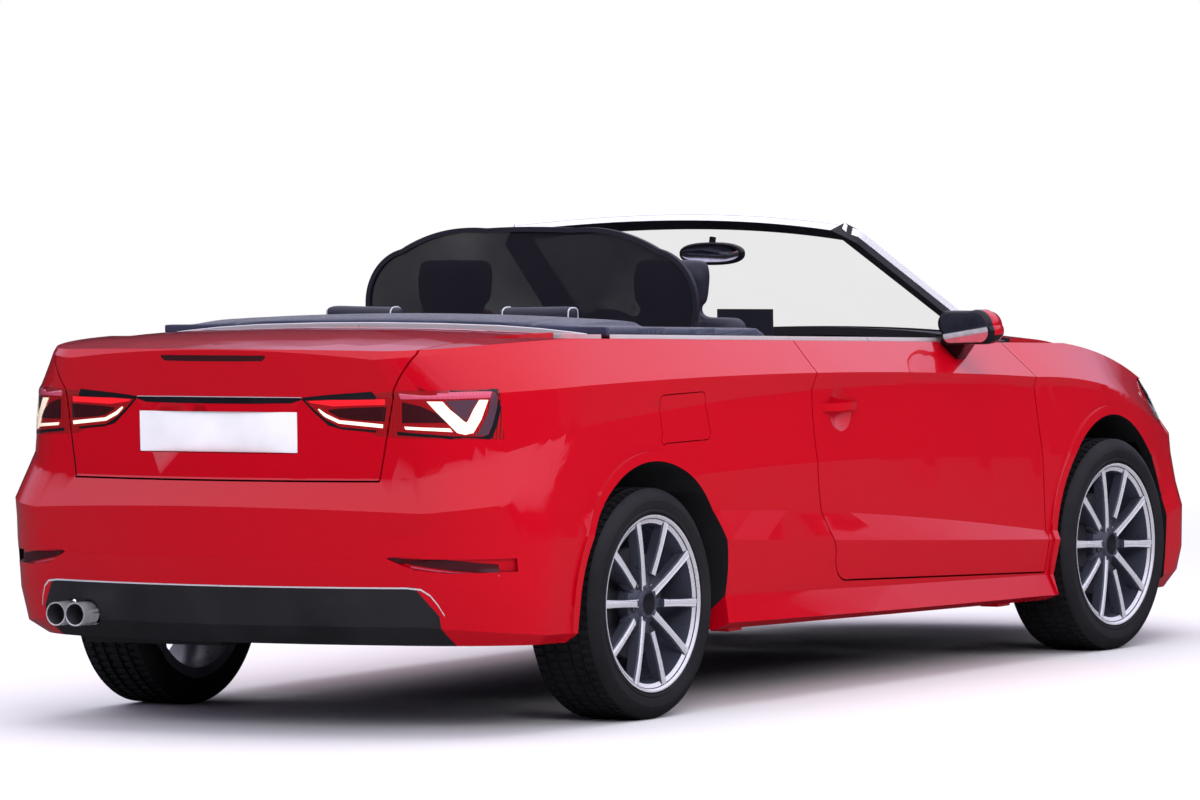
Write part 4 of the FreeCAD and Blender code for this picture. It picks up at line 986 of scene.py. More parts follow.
@dataclass
class PlainNodes:
    """CAD nodes that keep their shape and get a finish of their own."""

    palette: Palette
    table: tuple[tuple[str, str], ...] = (
        ("rear_valance", "black_grained"), ("grille", "black_gloss"), ("cowl", "black_grained"),
        ("floor_pan", "underbody"), ("engine_block", "cast_part"), ("radiator", "underbody"),
        ("front_axle", "cast_part"), ("rear_axle", "cast_part"), ("right_knuckle", "cast_part"),
        ("left_knuckle", "cast_part"), ("dashboard", "cabin_trim"),
        ("steering_wheel", "seat_navy"), ("centre_console", "cabin_trim"),
        ("belt_trim", "satin_strip"), ("right_door_trim", "satin_strip"),
        ("left_door_trim", "satin_strip"), ("windscreen", "screen_clear"),
        ("lid_lamps", "lens_red"), ("right_tail_lamp", "lens_red"),
        ("left_tail_lamp", "lens_red"), ("right_headlamp", "lens_clear"),
        ("left_headlamp", "lens_clear"))

    def build(self) -> None:
        """Give each node its finish."""
        for node, finish in self.table:
            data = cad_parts[node].data
            data.materials.clear()
            data.materials.append(self.palette.made[finish])


@dataclass
class Spoke:
    """One spoke: a machined ridge with a fine groove over deep tapered flanks.

    The sizes are in millimetres.
    """

    start: float
    hub_edge: float = 34.0
    end: float = 234.0
    half: float = 14.0
    waist: float = 2.5
    edge_share: float = 0.25
    edge_drop: float = 6.0
    groove_place: float = 0.4
    groove_half: float = 0.05
    groove_drop: float = 1.8
    groove_start: float = 12.0
    low: float = 84.0
    rise: float = 17.0
    flank: float = 38.0
    flank_taper: float = 10.0
    foot_share: float = 0.7
    cells: tuple[int, int] = (12, 10)

    def top(self, along: float, across: float) -> Vector:
        """Point of the ridge.

        Args:
            along: Place along the ridge, from 0 to 1.
            across: Place across the ridge, from -1 to 1.

        Returns:
            The point in metres, with the spoke along X and the axle along Y.
        """
        radius = self.start + (self.end - self.start) * along
        out = (radius - self.hub_edge) / (self.end - self.hub_edge)
        half = self.half - self.waist * math.sin(out * math.pi)
        past = max(0.0, abs(across) - (1 - self.edge_share))
        height = self.low + self.rise * math.sin(out * math.pi * 0.5)
        height -= self.edge_drop * past / self.edge_share
        if abs(across - self.groove_place) < self.groove_half and (
                radius > self.start + self.groove_start):
            height -= self.groove_drop
        return Vector((radius, height, half * across)) * MILLI

    def shape(self) -> Mesh:
        """Build the spoke along X.

        Returns:
            The closed spoke.
        """
        bm = bmesh.new()
        bmesh.ops.create_grid(bm, x_segments=self.cells[0], y_segments=self.cells[1], size=1.0)
        for vert in bm.verts:
            vert.co = self.top((vert.co.x + 1) / 2, vert.co.y)
        made = bmesh.ops.extrude_face_region(bm, geom=bm.faces[:], use_keep_orig=True)
        feet = [item for item in made["geom"] if isinstance(item, bmesh.types.BMVert)]
        for vert in feet:
            share = vert.co.x / (self.end * MILLI)
            vert.co.y -= (self.flank - self.flank_taper * share) * MILLI
            vert.co.z *= self.foot_share
        bmesh.ops.recalc_face_normals(bm, faces=bm.faces)
        return bm


@dataclass
class RoadWheels:
    """Four tyres, ten-spoke rims, brake discs and bolts.

    The profiles give radius and height along the axle in millimetres.
    """

    palette: Palette
    radius: float = 318.5
    steps: int = 150
    spokes: int = 10
    spoke_starts: Pair = (34.0, 82.0)
    first_angle: float = 68.7
    tyre_crease: float = 24.0
    rim_crease: float = 28.0
    bolts: int = 5
    bolt_lead: float = 18.0
    bolt_circle: float = 0.056
    groove_deep: float = 6.5
    groove_wall: float = 1.2
    grooves: Profile = ((58.0, 5.0), (22.0, 5.5))
    rib_middle: float = 60.0
    rib_top: float = 2.5
    rib_in: float = 0.0028
    rib_down: float = 0.0045
    wall: Profile = (
        (229.3, 89.0), (233.0, 101.0), (247.5, 104.0), (250.5, 109.0), (256.0, 110.0),
        (258.0, 108.5), (268.0, 111.5), (284.5, 112.4), (286.0, 111.4), (290.0, 111.0),
        (299.0, 107.0), (308.0, 101.5), (314.0, 97.0), (317.1, 92.0), (318.1, 72.0))
    barrel: Profile = (
        (216.0, -104.0), (243.0, -106.5), (244.5, -104.0), (231.0, -92.0), (228.5, -80.0),
        (228.5, 84.0), (231.0, 92.0), (243.0, 101.0), (245.0, 104.5), (243.5, 107.0),
        (240.0, 106.8), (236.5, 103.5), (232.5, 99.0), (221.0, 94.0), (217.0, 70.0),
        (212.0, -60.0), (216.0, -104.0))
    hub: Profile = (
        (0.0, 93.5), (24.0, 93.2), (30.5, 91.5), (32.0, 88.0), (34.0, 87.5), (35.5, 90.5),
        (39.0, 90.5), (41.0, 86.0), (44.0, 79.0), (66.0, 72.0), (72.0, 66.0), (74.0, 40.0),
        (70.0, 30.0), (0.0, 30.0))
    disc: Profile = (
        (72.0, 28.0), (72.0, 33.5), (80.0, 36.0), (150.0, 36.0), (152.0, 34.0), (152.0, 29.0),
        (146.0, 28.0), (146.0, 21.0), (152.0, 20.0), (152.0, 15.5), (150.0, 14.0),
        (72.0, 14.0), (72.0, 28.0))
    bolt: Profile = ((0.0, 80.0), (6.0, 80.0), (8.5, 78.5), (8.5, 68.0))
    web_low: Point = (0.030, 0.048, -0.013)
    web_high: Point = (0.100, 0.074, 0.013)
    web_bevel: float = 0.004
    barrel_steps: int = 120
    hub_steps: int = 72
    disc_steps: int = 96
    bolt_sides: int = 6
    front_facing: float = 0.6
    face_height: float = 0.080
    ring_radii: Pair = (0.026, 0.043)
    cap_radius: float = 0.031
    cap_height: float = 0.088
    places: tuple[tuple[str, Side, float, float], ...] = (
        ("front_right", Side.RIGHT, 1.2985, 0.7775), ("front_left", Side.LEFT, 1.2985, 0.7775),
        ("rear_right", Side.RIGHT, -1.2965, 0.763), ("rear_left", Side.LEFT, -1.2965, 0.763))

    def tyre(self) -> Mesh:
        """Tyre with four grooves, shoulder slots and raised rings on its walls.

        Returns:
            The tyre about the Y axis.
        """
        half = list(self.wall)
        deep = self.radius - self.groove_deep
        for middle, wide in self.grooves:
            half += [(self.radius, middle + wide), (deep, middle + wide - self.groove_wall),
                     (deep, middle - wide + self.groove_wall), (self.radius, middle - wide)]
        other = [(radius, -along) for radius, along in reversed(half)]
        bm = spun(half + other, self.steps)
        ribs = []
        for face in bm.faces:
            centre = face.calc_center_median()
            radius = math.hypot(centre.x, centre.z) / MILLI
            turn = round(math.degrees(math.atan2(centre.z, centre.x)) / 360 * self.steps - 0.5)
            along = abs(centre.y) / MILLI
            if radius > self.radius - self.rib_top and turn % 2 == (along < self.rib_middle):
                ribs.append(face)
        bmesh.ops.inset_individual(bm, faces=ribs, thickness=self.rib_in, depth=-self.rib_down)
        return bm

    def bolt_ring(self) -> Mesh:
        """Wheel bolts in their seats.

        Returns:
            The five bolts in one mesh.
        """
        parts = []
        for index in range(self.bolts):
            angle = math.radians(self.first_angle + self.bolt_lead + 360.0 * index / self.bolts)
            turn = Matrix.Rotation(angle, 4, "Y")
            place = Matrix.Translation((self.bolt_circle, 0, 0))
            parts.append(moved(spun(self.bolt, self.bolt_sides), turn @ place))
        return joined(parts)

    def rim(self) -> Mesh:
        """Whole rim, with its front faces machined, the pockets painted and a black cap.

        Returns:
            The rim about the Y axis.
        """
        parts = [spun(self.barrel, self.barrel_steps), spun(self.hub, self.hub_steps)]
        for index in range(self.spokes):
            angle = math.radians(self.first_angle + 360.0 * index / self.spokes)
            turn = Matrix.Rotation(angle, 4, "Y")
            parts.append(moved(Spoke(self.spoke_starts[index % 2]).shape(), turn))
            if index % 2:
                parts.append(moved(block(self.web_low, self.web_high, self.web_bevel), turn))
        bm = joined(parts)
        for face in bm.faces:
            centre = face.calc_center_median()
            radius = math.hypot(centre.x, centre.z)
            front = face.normal.y > self.front_facing and not (
                self.ring_radii[0] < radius < self.ring_radii[1])
            deep = self.face_height if radius > self.ring_radii[1] else 0.0
            face.material_index = 0 if front and centre.y > deep else 1
            if radius < self.cap_radius and centre.y > self.cap_height:
                face.material_index = 2
        return bm

    def build(self) -> None:
        """Make the four wheels."""
        pick = self.palette.pick
        for name, side, x, y in self.places:
            turn = Matrix.Rotation(math.pi if side is Side.RIGHT else 0.0, 4, "Z")
            place = Matrix.Translation((x, y * side.value, self.radius * MILLI)) @ turn
            body = name + "_wheel"
            Piece(name + "_tread_tyre", moved(self.tyre(), place), body, Slot.TYRE,
                  pick("tyre_black"), self.tyre_crease).make(name + "_tyre")
            Piece(name + "_spoked_rim", moved(self.rim(), place), body, Slot.ALLOY,
                  pick("machined_face", "pocket_grey", "black_gloss"),
                  self.rim_crease).make(name + "_rim")
            Piece(name + "_disc", moved(spun(self.disc, self.disc_steps), place), body,
                  Slot.CAST, pick("disc_steel")).make()
            Piece(name + "_bolts", moved(self.bolt_ring(), place), body, Slot.BRIGHT,
                  pick("disc_steel")).make()


@dataclass(frozen=True)
class Inlay:
    """Thin piece laid on a skin between two runs of points of the right side.

    The points are in millimetres.
    """

    name: str
    finish: str
    lift: float
    one: Run
    two: Run


@dataclass
class RearLamps:
    """Frames, lenses and light guides of the rear lamps on both sides."""

    palette: Palette
    outer: tuple[Inlay, ...] = (
        Inlay("outer_frame", "black_gloss", 0.0010,
              ((-2061, -558, 939), (-1988, -678, 940), (-1898, -750, 937), (-1883, -762, 932),
               (-1878, -770, 921), (-1884, -769, 887), (-1901, -764, 836), (-1915, -758, 805),
               (-1930, -749, 795), (-2002, -684, 803), (-2045, -618, 812), (-2066, -553, 817)),
              ((-2060, -558, 931), (-1990, -678, 930), (-1904, -749, 928), (-1893, -757, 923),
               (-1889, -762, 914), (-1896, -761, 884), (-1911, -756, 838), (-1922, -751, 815),
               (-1937, -742, 808), (-2001, -685, 812), (-2045, -618, 820), (-2066, -553, 826))),
        Inlay("outer_corner", "corner_smoke", 0.0008,
              ((-1902, -750, 927), (-1919, -748, 872), (-1945, -736, 822), (-1955, -728, 812)),
              ((-1891, -759, 920), (-1896, -761, 884), (-1911, -756, 838), (-1926, -749, 812))),
        Inlay("outer_band_top", "band_rose", 0.0016,
              ((-2060, -558, 929), (-1990, -678, 929), (-1903, -750, 927)),
              ((-2059, -562, 913), (-1990, -678, 911), (-1910, -748, 911))),
        Inlay("outer_core", "lens_smoke", 0.0014,
              ((-2058, -566, 905), (-2041, -614, 893), (-2014, -660, 868), (-2006, -673, 852)),
              ((-2060, -566, 850), (-2044, -614, 849), (-2018, -658, 849), (-2007, -673, 848))),
        Inlay("outer_flame_inside", "corner_smoke", 0.0014,
              ((-2004, -668, 907), (-1986, -690, 870), (-1972, -708, 852)),
              ((-1940, -730, 907), (-1955, -720, 880), (-1969, -711, 853))),
        Inlay("outer_flame", "guide_pale", 0.0024,
              ((-2033, -627, 906), (-2021, -651, 876), (-2004, -677, 844), (-1990, -695, 820),
               (-1975, -710, 815), (-1958, -725, 819), (-1938, -737, 853), (-1916, -747, 906)),
              ((-2009, -662, 905), (-1998, -678, 883), (-1983, -696, 863), (-1975, -705, 852),
               (-1970, -711, 847), (-1966, -714, 852), (-1952, -723, 882), (-1937, -732, 907))),
        Inlay("outer_guide_low", "guide_pale", 0.0022,
              ((-2061, -573, 840), (-2044, -618, 837), (-2002, -680, 833)),
              ((-2060, -576, 832), (-2044, -618, 829), (-1998, -686, 823))))
    inner: tuple[Inlay, ...] = (
        Inlay("inner_frame", "black_gloss", 0.0010,
              ((-2108, -275, 917), (-2104, -309, 921), (-2100, -355, 925), (-2095, -396, 928),
               (-2081, -481, 934), (-2047, -539, 938)),
              ((-2108, -275, 911), (-2106, -309, 879), (-2101, -355, 842), (-2095, -396, 832),
               (-2081, -481, 825), (-2051, -520, 820))),
        Inlay("inner_lens", "lens_red", 0.0018,
              ((-2107, -284, 909), (-2104, -318, 911), (-2100, -349, 912), (-2096, -388, 913),
               (-2082, -456, 915), (-2053, -533, 916)),
              ((-2107, -291, 903), (-2104, -318, 880), (-2101, -349, 857), (-2097, -388, 839),
               (-2085, -456, 833), (-2060, -520, 828))),
        Inlay("inner_band_top", "guide_red", 0.0024,
              ((-2106, -295, 908), (-2096, -370, 911), (-2082, -456, 912), (-2052, -531, 913)),
              ((-2106, -300, 903), (-2097, -370, 894), (-2083, -456, 897), (-2054, -530, 898))),
        Inlay("inner_core", "lens_smoke", 0.0024,
              ((-2100, -353, 885), (-2096, -388, 888), (-2089, -422, 890), (-2079, -482, 892),
               (-2060, -528, 893)),
              ((-2099, -357, 879), (-2096, -388, 864), (-2090, -422, 859), (-2080, -482, 855),
               (-2062, -524, 853))),
        Inlay("inner_guide", "guide_pale", 0.0030,
              ((-2103, -326, 888), (-2101, -348, 874), (-2096, -388, 857), (-2086, -448, 852),
               (-2074, -514, 846)),
              ((-2103, -323, 884), (-2102, -344, 866), (-2097, -386, 848), (-2086, -448, 842),
               (-2075, -513, 836))))

    def lay(self, inlay: Inlay, skin: Skin, body: str, side: Side) -> None:
        """Lay one inlay on one side of the car.

        Args:
            inlay: What is laid.
            skin: Surface it lies on.
            body: Body it rides on.
            side: Side of the car.
        """
        bm = skin.inlay(side.run(inlay.one), side.run(inlay.two), inlay.lift, side)
        Piece(side.named(inlay.name), bm, body, Slot.RED_LAMP,
              self.palette.pick(inlay.finish)).make()

    def build(self) -> None:
        """Dress the lamps of both sides."""
        lid = Skin.of("lid_lamps", "boot_lid")
        for side in Side:
            corner = Skin.of(side.named("tail_lamp"))
            for inlay in self.outer:
                self.lay(inlay, corner, "body", side)
            for inlay in self.inner:
                self.lay(inlay, lid, "boot_lid", side)


@dataclass
class HeadLamps:
    """Upper lenses of the headlamps, up to the bonnet edge."""

    palette: Palette
    top: Run = (
        (1778, -737, 752), (1790, -705, 788), (1838, -672, 790), (1850, -640, 789),
        (1860, -610, 788), (1900, -580, 757), (1920, -550, 750), (1940, -520, 741),
        (1985, -490, 739), (2004, -462, 738))
    low: Run = (
        (1841, -730, 690), (1873, -700, 715), (1904, -670, 709), (1943, -640, 684),
        (1953, -610, 698), (1974, -580, 698), (1994, -550, 698), (2012, -520, 698),
        (2016, -490, 712), (2032, -462, 712))
    thick: Point = (-0.002, 0, -0.002)
    cuts: int = 4
    crease: float = 60.0

    def build(self) -> None:
        """Dress the headlamps of both sides."""
        for side in Side:
            bm = ribbon(side.run(self.top), side.run(self.low), self.cuts)
            thickened(bm, Vector(self.thick))
            Piece(side.named("headlamp_upper_lens"), bm, "body", Slot.CLEAR_LAMP,
                  self.palette.pick("lens_clear"), self.crease).make()


@dataclass(frozen=True)
class Strip:
    """One strip across the tail, the same on both sides of the middle.

    Its run gives Y, low Z and high Z from its left end to the middle, in metres.
    """

    name: str
    body: str
    slot: Slot
    finish: str
    lift: float
    run: Run


@dataclass
class TailDetail:
    """High brake lamp, number plate, a black band of painted shade above it, and the lines of the
    lower bumper, whose slots get painted shade and a painted highlight.
    """

    palette: Palette
    start: float = -3.0
    thick: float = 0.003
    plate: tuple[Point, Point] = ((-2.1165, -0.260, 0.768), (-2.1125, 0.260, 0.878))
    plate_bevel: float = 0.0015
    pipe_places: Profile = ((0.532, 0.318), (0.467, 0.318))
    pipe_bore: float = 0.0297
    pipe_front: float = -2.0
    pipe_crease: float = 30.0
    slot_top: Run = ((-2102, -540, 491), (-2076, -625, 488), (-2015, -713, 478),
                     (-1945, -790, 467))
    slot_low: Run = ((-2101, -545, 485), (-2069, -590, 470), (-2027, -688, 454),
                     (-1950, -798, 442))
    slot_lip: Run = ((-2069, -590, 466), (-2027, -688, 450), (-1952, -796, 439))
    lip_high: float = 4.0
    slot_lift: float = 0.0010
    lip_lift: float = 0.0014
    lid_strips: tuple[Strip, ...] = (
        Strip("high_brake_lamp", "boot_lid", Slot.RED_LAMP, "lens_smoke", 0.0008,
              ((0.172, 1.024, 1.031), (0.160, 1.016, 1.031), (0.08, 1.015, 1.031),
               (0.0, 1.015, 1.031))),
        # Black band under the lid's crease: painted shade of the undercut below the crease.
        Strip("lid_band", "boot_lid", Slot.BLACK, "black_gloss", 0.0010,
              ((0.272, 0.9105, 0.9165), (0.24, 0.902, 0.9165), (0.12, 0.900, 0.917),
               (0.0, 0.900, 0.917))),
        Strip("lid_band_edge", "boot_lid", Slot.BRIGHT, "satin_strip", 0.0014,
              ((0.272, 0.9165, 0.9180), (0.12, 0.917, 0.9188), (0.0, 0.917, 0.9188))))
    valance_line: Strip = Strip(
        "valance_line", "body", Slot.BRIGHT, "satin_strip", 0.0012,
        ((0.668, 0.330, 0.334), (0.656, 0.358, 0.363), (0.640, 0.384, 0.389),
         (0.618, 0.400, 0.405), (0.58, 0.4045, 0.4090), (0.30, 0.4050, 0.4090),
         (0.0, 0.4050, 0.4090)))

    def pipes(self) -> None:
        """Dress the tail pipes: bright rings, with painted shade black inside the bores."""
        bm = welded("exhaust_tips")
        for face in bm.faces:
            centre = face.calc_center_median()
            # Faces in each bore and further in are painted black: painted shade of the hollow
            # pipes.
            inside = any(math.hypot(centre.y - y, centre.z - z) < self.pipe_bore
                         for y, z in self.pipe_places)
            face.material_index = 1 if inside or centre.x > self.pipe_front else 0
        Piece("tail_pipes", bm, "body", Slot.BRIGHT,
              self.palette.pick("polished_pipe", "black_grained"),
              self.pipe_crease).make("exhaust_tips")

    def slots(self, side: Side) -> None:
        """Lay the painted shade on the floor and the painted highlight on the lower lip of one
        slot of the bumper.

        Args:
            side: Side of the car.
        """
        skin = Skin.of("rear_bumper")
        under = [(x, y, z - self.lip_high) for x, y, z in self.slot_lip]
        # The dark red floor is painted shade, and the glowing rose strip under the lip is a
        # painted highlight.
        for name, one, two, finish, lift in (
                ("slot", self.slot_top, self.slot_low, "slot_dark", self.slot_lift),
                ("slot_lip", self.slot_lip, under, "band_rose", self.lip_lift)):
            bm = skin.inlay(side.run(one), side.run(two), lift, side)
            Piece(side.named("bumper_" + name), bm, "body", Slot.PAINT,
                  self.palette.pick(finish)).make()

    def across(self, strip: Strip, skin: Skin) -> None:
        """Lay one strip.

        Args:
            strip: The strip.
            skin: Surface it lies on.
        """
        other = [(-y, low, high) for y, low, high in reversed(strip.run) if y > 0]
        whole = list(strip.run) + other
        bm = ribbon([(0, y, low) for y, low, high in whole],
                    [(0, y, high) for y, low, high in whole], INLAY_CUTS)
        skin.drop(bm, self.start, strip.lift)
        thickened(bm, Vector((self.thick, 0, 0)))
        Piece(strip.name, bm, strip.body, strip.slot, self.palette.pick(strip.finish)).make()

    def build(self) -> None:
        """Dress the boot lid and the valance."""
        lid = Skin.of("boot_lid")
        for strip in self.lid_strips:
            self.across(strip, lid)
        Piece("number_plate", block(*self.plate, self.plate_bevel), "boot_lid",
              Slot.CLEAR_LAMP, self.palette.pick("plate_white")).make()
        self.pipes()
        for side in Side:
            self.slots(side)
        self.across(self.valance_line, Skin.of("rear_valance", "rear_bumper"))


@dataclass(frozen=True)
class Stuffing:
    """How a soft piece is swelled from the shape of its CAD node."""

    voxel: float
    cap: float = 0.016
    shrink: float = 0.004
    pressure: float = 4.0
    frames: int = 20
    quality: int = 4
    mass: float = 0.15
    stiffness: float = 25.0
    smoothing: float = 0.5

    def started(self, node: str) -> bpy.types.Object:
        """Make an even mesh a little smaller than the node.

        Args:
            node: CAD node of the piece.

        Returns:
            The object, linked to the scene.
        """
        bm = welded(node)
        data = bpy.data.meshes.new("stuffing")
        bm.to_mesh(data)
        bm.free()
        pad = shown("stuffing", data)
        even = pad.modifiers.new("even", "REMESH")
        even.mode = "VOXEL"
        even.voxel_size = self.voxel
        graph = bpy.context.evaluated_depsgraph_get()
        pad.data = bpy.data.meshes.new_from_object(pad.evaluated_get(graph))
        pad.modifiers.clear()
        bpy.data.meshes.remove(data)
        for vert, normal in zip(pad.data.vertices, [v.normal.copy() for v in pad.data.vertices]):
            vert.co -= normal * self.shrink
        return pad

    def swelled(self, node: str, held: Callable[[Vector], float]) -> Mesh:
        """Swell the node's shape as cloth under pressure.

        Args:
            node: CAD node of the piece.
            held: How firmly a point is held, from 0 to 1.

        Returns:
            The swelled mesh, no point moved further than the cap.
        """
        pad = self.started(node)
        starts = [vert.co.copy() for vert in pad.data.vertices]
        pins = pad.vertex_groups.new(name="held")
        for index, place in enumerate(starts):
            pins.add([index], held(place), "REPLACE")
        cloth = pad.modifiers.new("cloth", "CLOTH")
        cloth.settings.quality = self.quality
        cloth.settings.mass = self.mass
        cloth.settings.tension_stiffness = self.stiffness
        cloth.settings.compression_stiffness = self.stiffness
        cloth.settings.use_pressure = True
        cloth.settings.uniform_pressure_force = self.pressure
        cloth.settings.vertex_group_mass = "held"
        cloth.settings.effector_weights.gravity = 0.0
        scene = bpy.context.scene
        for number in range(1, self.frames + 1):
            scene.frame_set(number)
        graph = bpy.context.evaluated_depsgraph_get()
        data = bpy.data.meshes.new_from_object(pad.evaluated_get(graph))
        scene.frame_set(1)
        for vert, start in zip(data.vertices, starts):
            step = vert.co - start
            if step.length > self.cap:
                vert.co = start + step * (self.cap / step.length)
        bm = bmesh.new()
        bm.from_mesh(data)
        bpy.data.objects.remove(pad)
        bpy.data.meshes.remove(data)
        bmesh.ops.smooth_vert(bm, verts=bm.verts, factor=self.smoothing, use_axis_x=True,
                              use_axis_y=True, use_axis_z=True)
        return bm


@dataclass
class ScreenFrame:
    """Windscreen frame with its bright strips, and the wind deflector."""

    palette: Palette
    corner_cut: float = 0.021
    corner_way: Point = (-0.55, -0.70, 0.42)
    top: Point = (0.250, -0.600, 1.316)
    low: Point = (0.868, -0.742, 0.940)
    middle: Point = (0.322, 0.0, 1.350)
    inward: Point = (-0.456, 0, -0.89)
    facing: float = -0.55
    edge: float = 0.002
    crease: float = 20.0
    strip_edges: Pair = (0.001, 0.024)
    strip_lift: float = 0.0012
    strip_cuts: int = 2
    pillar_span: Pair = (0.02, 0.92)
    pillar_steps: int = 10
    pillar_thick: Point = (0, 0.0012, -0.0006)
    header_thick: Point = (0.001, 0, -0.001)
    header_half: float = 0.6
    header_reach: float = 0.985
    header_steps: int = 12
    pane_facing: float = 0.9
    pane_half: float = 0.003

    def pillar_strip(self, side: Side) -> Mesh:
        """Bright strip on the outer face of one pillar.

        Args:
            side: Side of the car.

        Returns:
            The strip, beside the pillar.
        """
        top, low, inward = Vector(self.top), Vector(self.low), Vector(self.inward)
        runs = []
        for depth in self.strip_edges:
            run = []
            for step in range(self.pillar_steps + 1):
                share = self.pillar_span[0] + self.pillar_span[1] * step / self.pillar_steps
                run.append(side.mirrored(top.lerp(low, share) + inward * depth))
            runs.append(run)
        return ribbon(runs[0], runs[1], self.strip_cuts)

    def header_strip(self) -> Mesh:
        """Bright strip along the rear of the header.

        Returns:
            The strip, beside the header.
        """
        middle, inward = Vector(self.middle), Vector(self.inward)
        end = Vector((self.top[0], 0, self.top[2]))
        runs = []
        for depth in self.strip_edges:
            run = []
            for step in range(-self.header_steps, self.header_steps + 1):
                out = step / self.header_steps * self.header_reach
                place = middle.lerp(end, out * out) + inward * depth
                run.append((place.x, self.header_half * out, place.z))
            runs.append(run)
        return ribbon(runs[0], runs[1], self.strip_cuts)

    def screen(self) -> None:
        """Dress the windscreen frame: black, with a bright strip round its outside."""
        bm = welded("windscreen_frame")
        for side in Side:
            out = side.mirrored(self.corner_way).normalized()
            cut = bmesh.ops.bisect_plane(bm, geom=bm.verts[:] + bm.edges[:] + bm.faces[:],
                                         plane_co=side.mirrored(self.top) - out * self.corner_cut,
                                         plane_no=out, clear_outer=True)
            rim = [item for item in cut["geom_cut"] if isinstance(item, bmesh.types.BMEdge)]
            bmesh.ops.holes_fill(bm, edges=rim)
        bmesh.ops.recalc_face_normals(bm, faces=bm.faces)
        for face in bm.faces:
            face.material_index = int(face.normal.dot(Vector(self.inward)) >= self.facing)
        skin = Skin(bm)
        Piece("screen_frame_skin", bm, "body", Slot.SATIN,
              self.palette.pick("satin_strip", "black_grained"), self.crease,
              self.edge).make("windscreen_frame")
        strips = [("header_strip", self.header_strip(), Vector(self.header_thick))]
        for side in Side:
            strips.append((side.named("pillar_strip"), self.pillar_strip(side),
                           side.mirrored(self.pillar_thick)))
        for name, strip, thick in strips:
            skin.wrap(strip, self.strip_lift)
            thickened(strip, thick)
            Piece(name, strip, "body", Slot.SATIN, self.palette.pick("satin_strip")).make()

    def deflector(self) -> None:
        """Dress the wind deflector with its net."""
        bm = welded("wind_deflector")
        low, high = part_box("wind_deflector")
        middle = (low[0] + high[0]) / 2
        for face in bm.faces:
            away = abs(face.calc_center_median().x - middle)
            pane = abs(face.normal.x) > self.pane_facing and away < self.pane_half
            face.material_index = 1 if pane else 0
        seam = [edge for edge in bm.edges
                if len({face.material_index for face in edge.link_faces}) > 1]
        bmesh.ops.split_edges(bm, edges=seam)
        Piece("deflector_frame_net", bm, "body", Slot.MESH,
              self.palette.pick("cabin_trim", "net_dark")).make("wind_deflector")

    def build(self) -> None:
        """Dress the frame and the deflector."""
        self.screen()
        self.deflector()


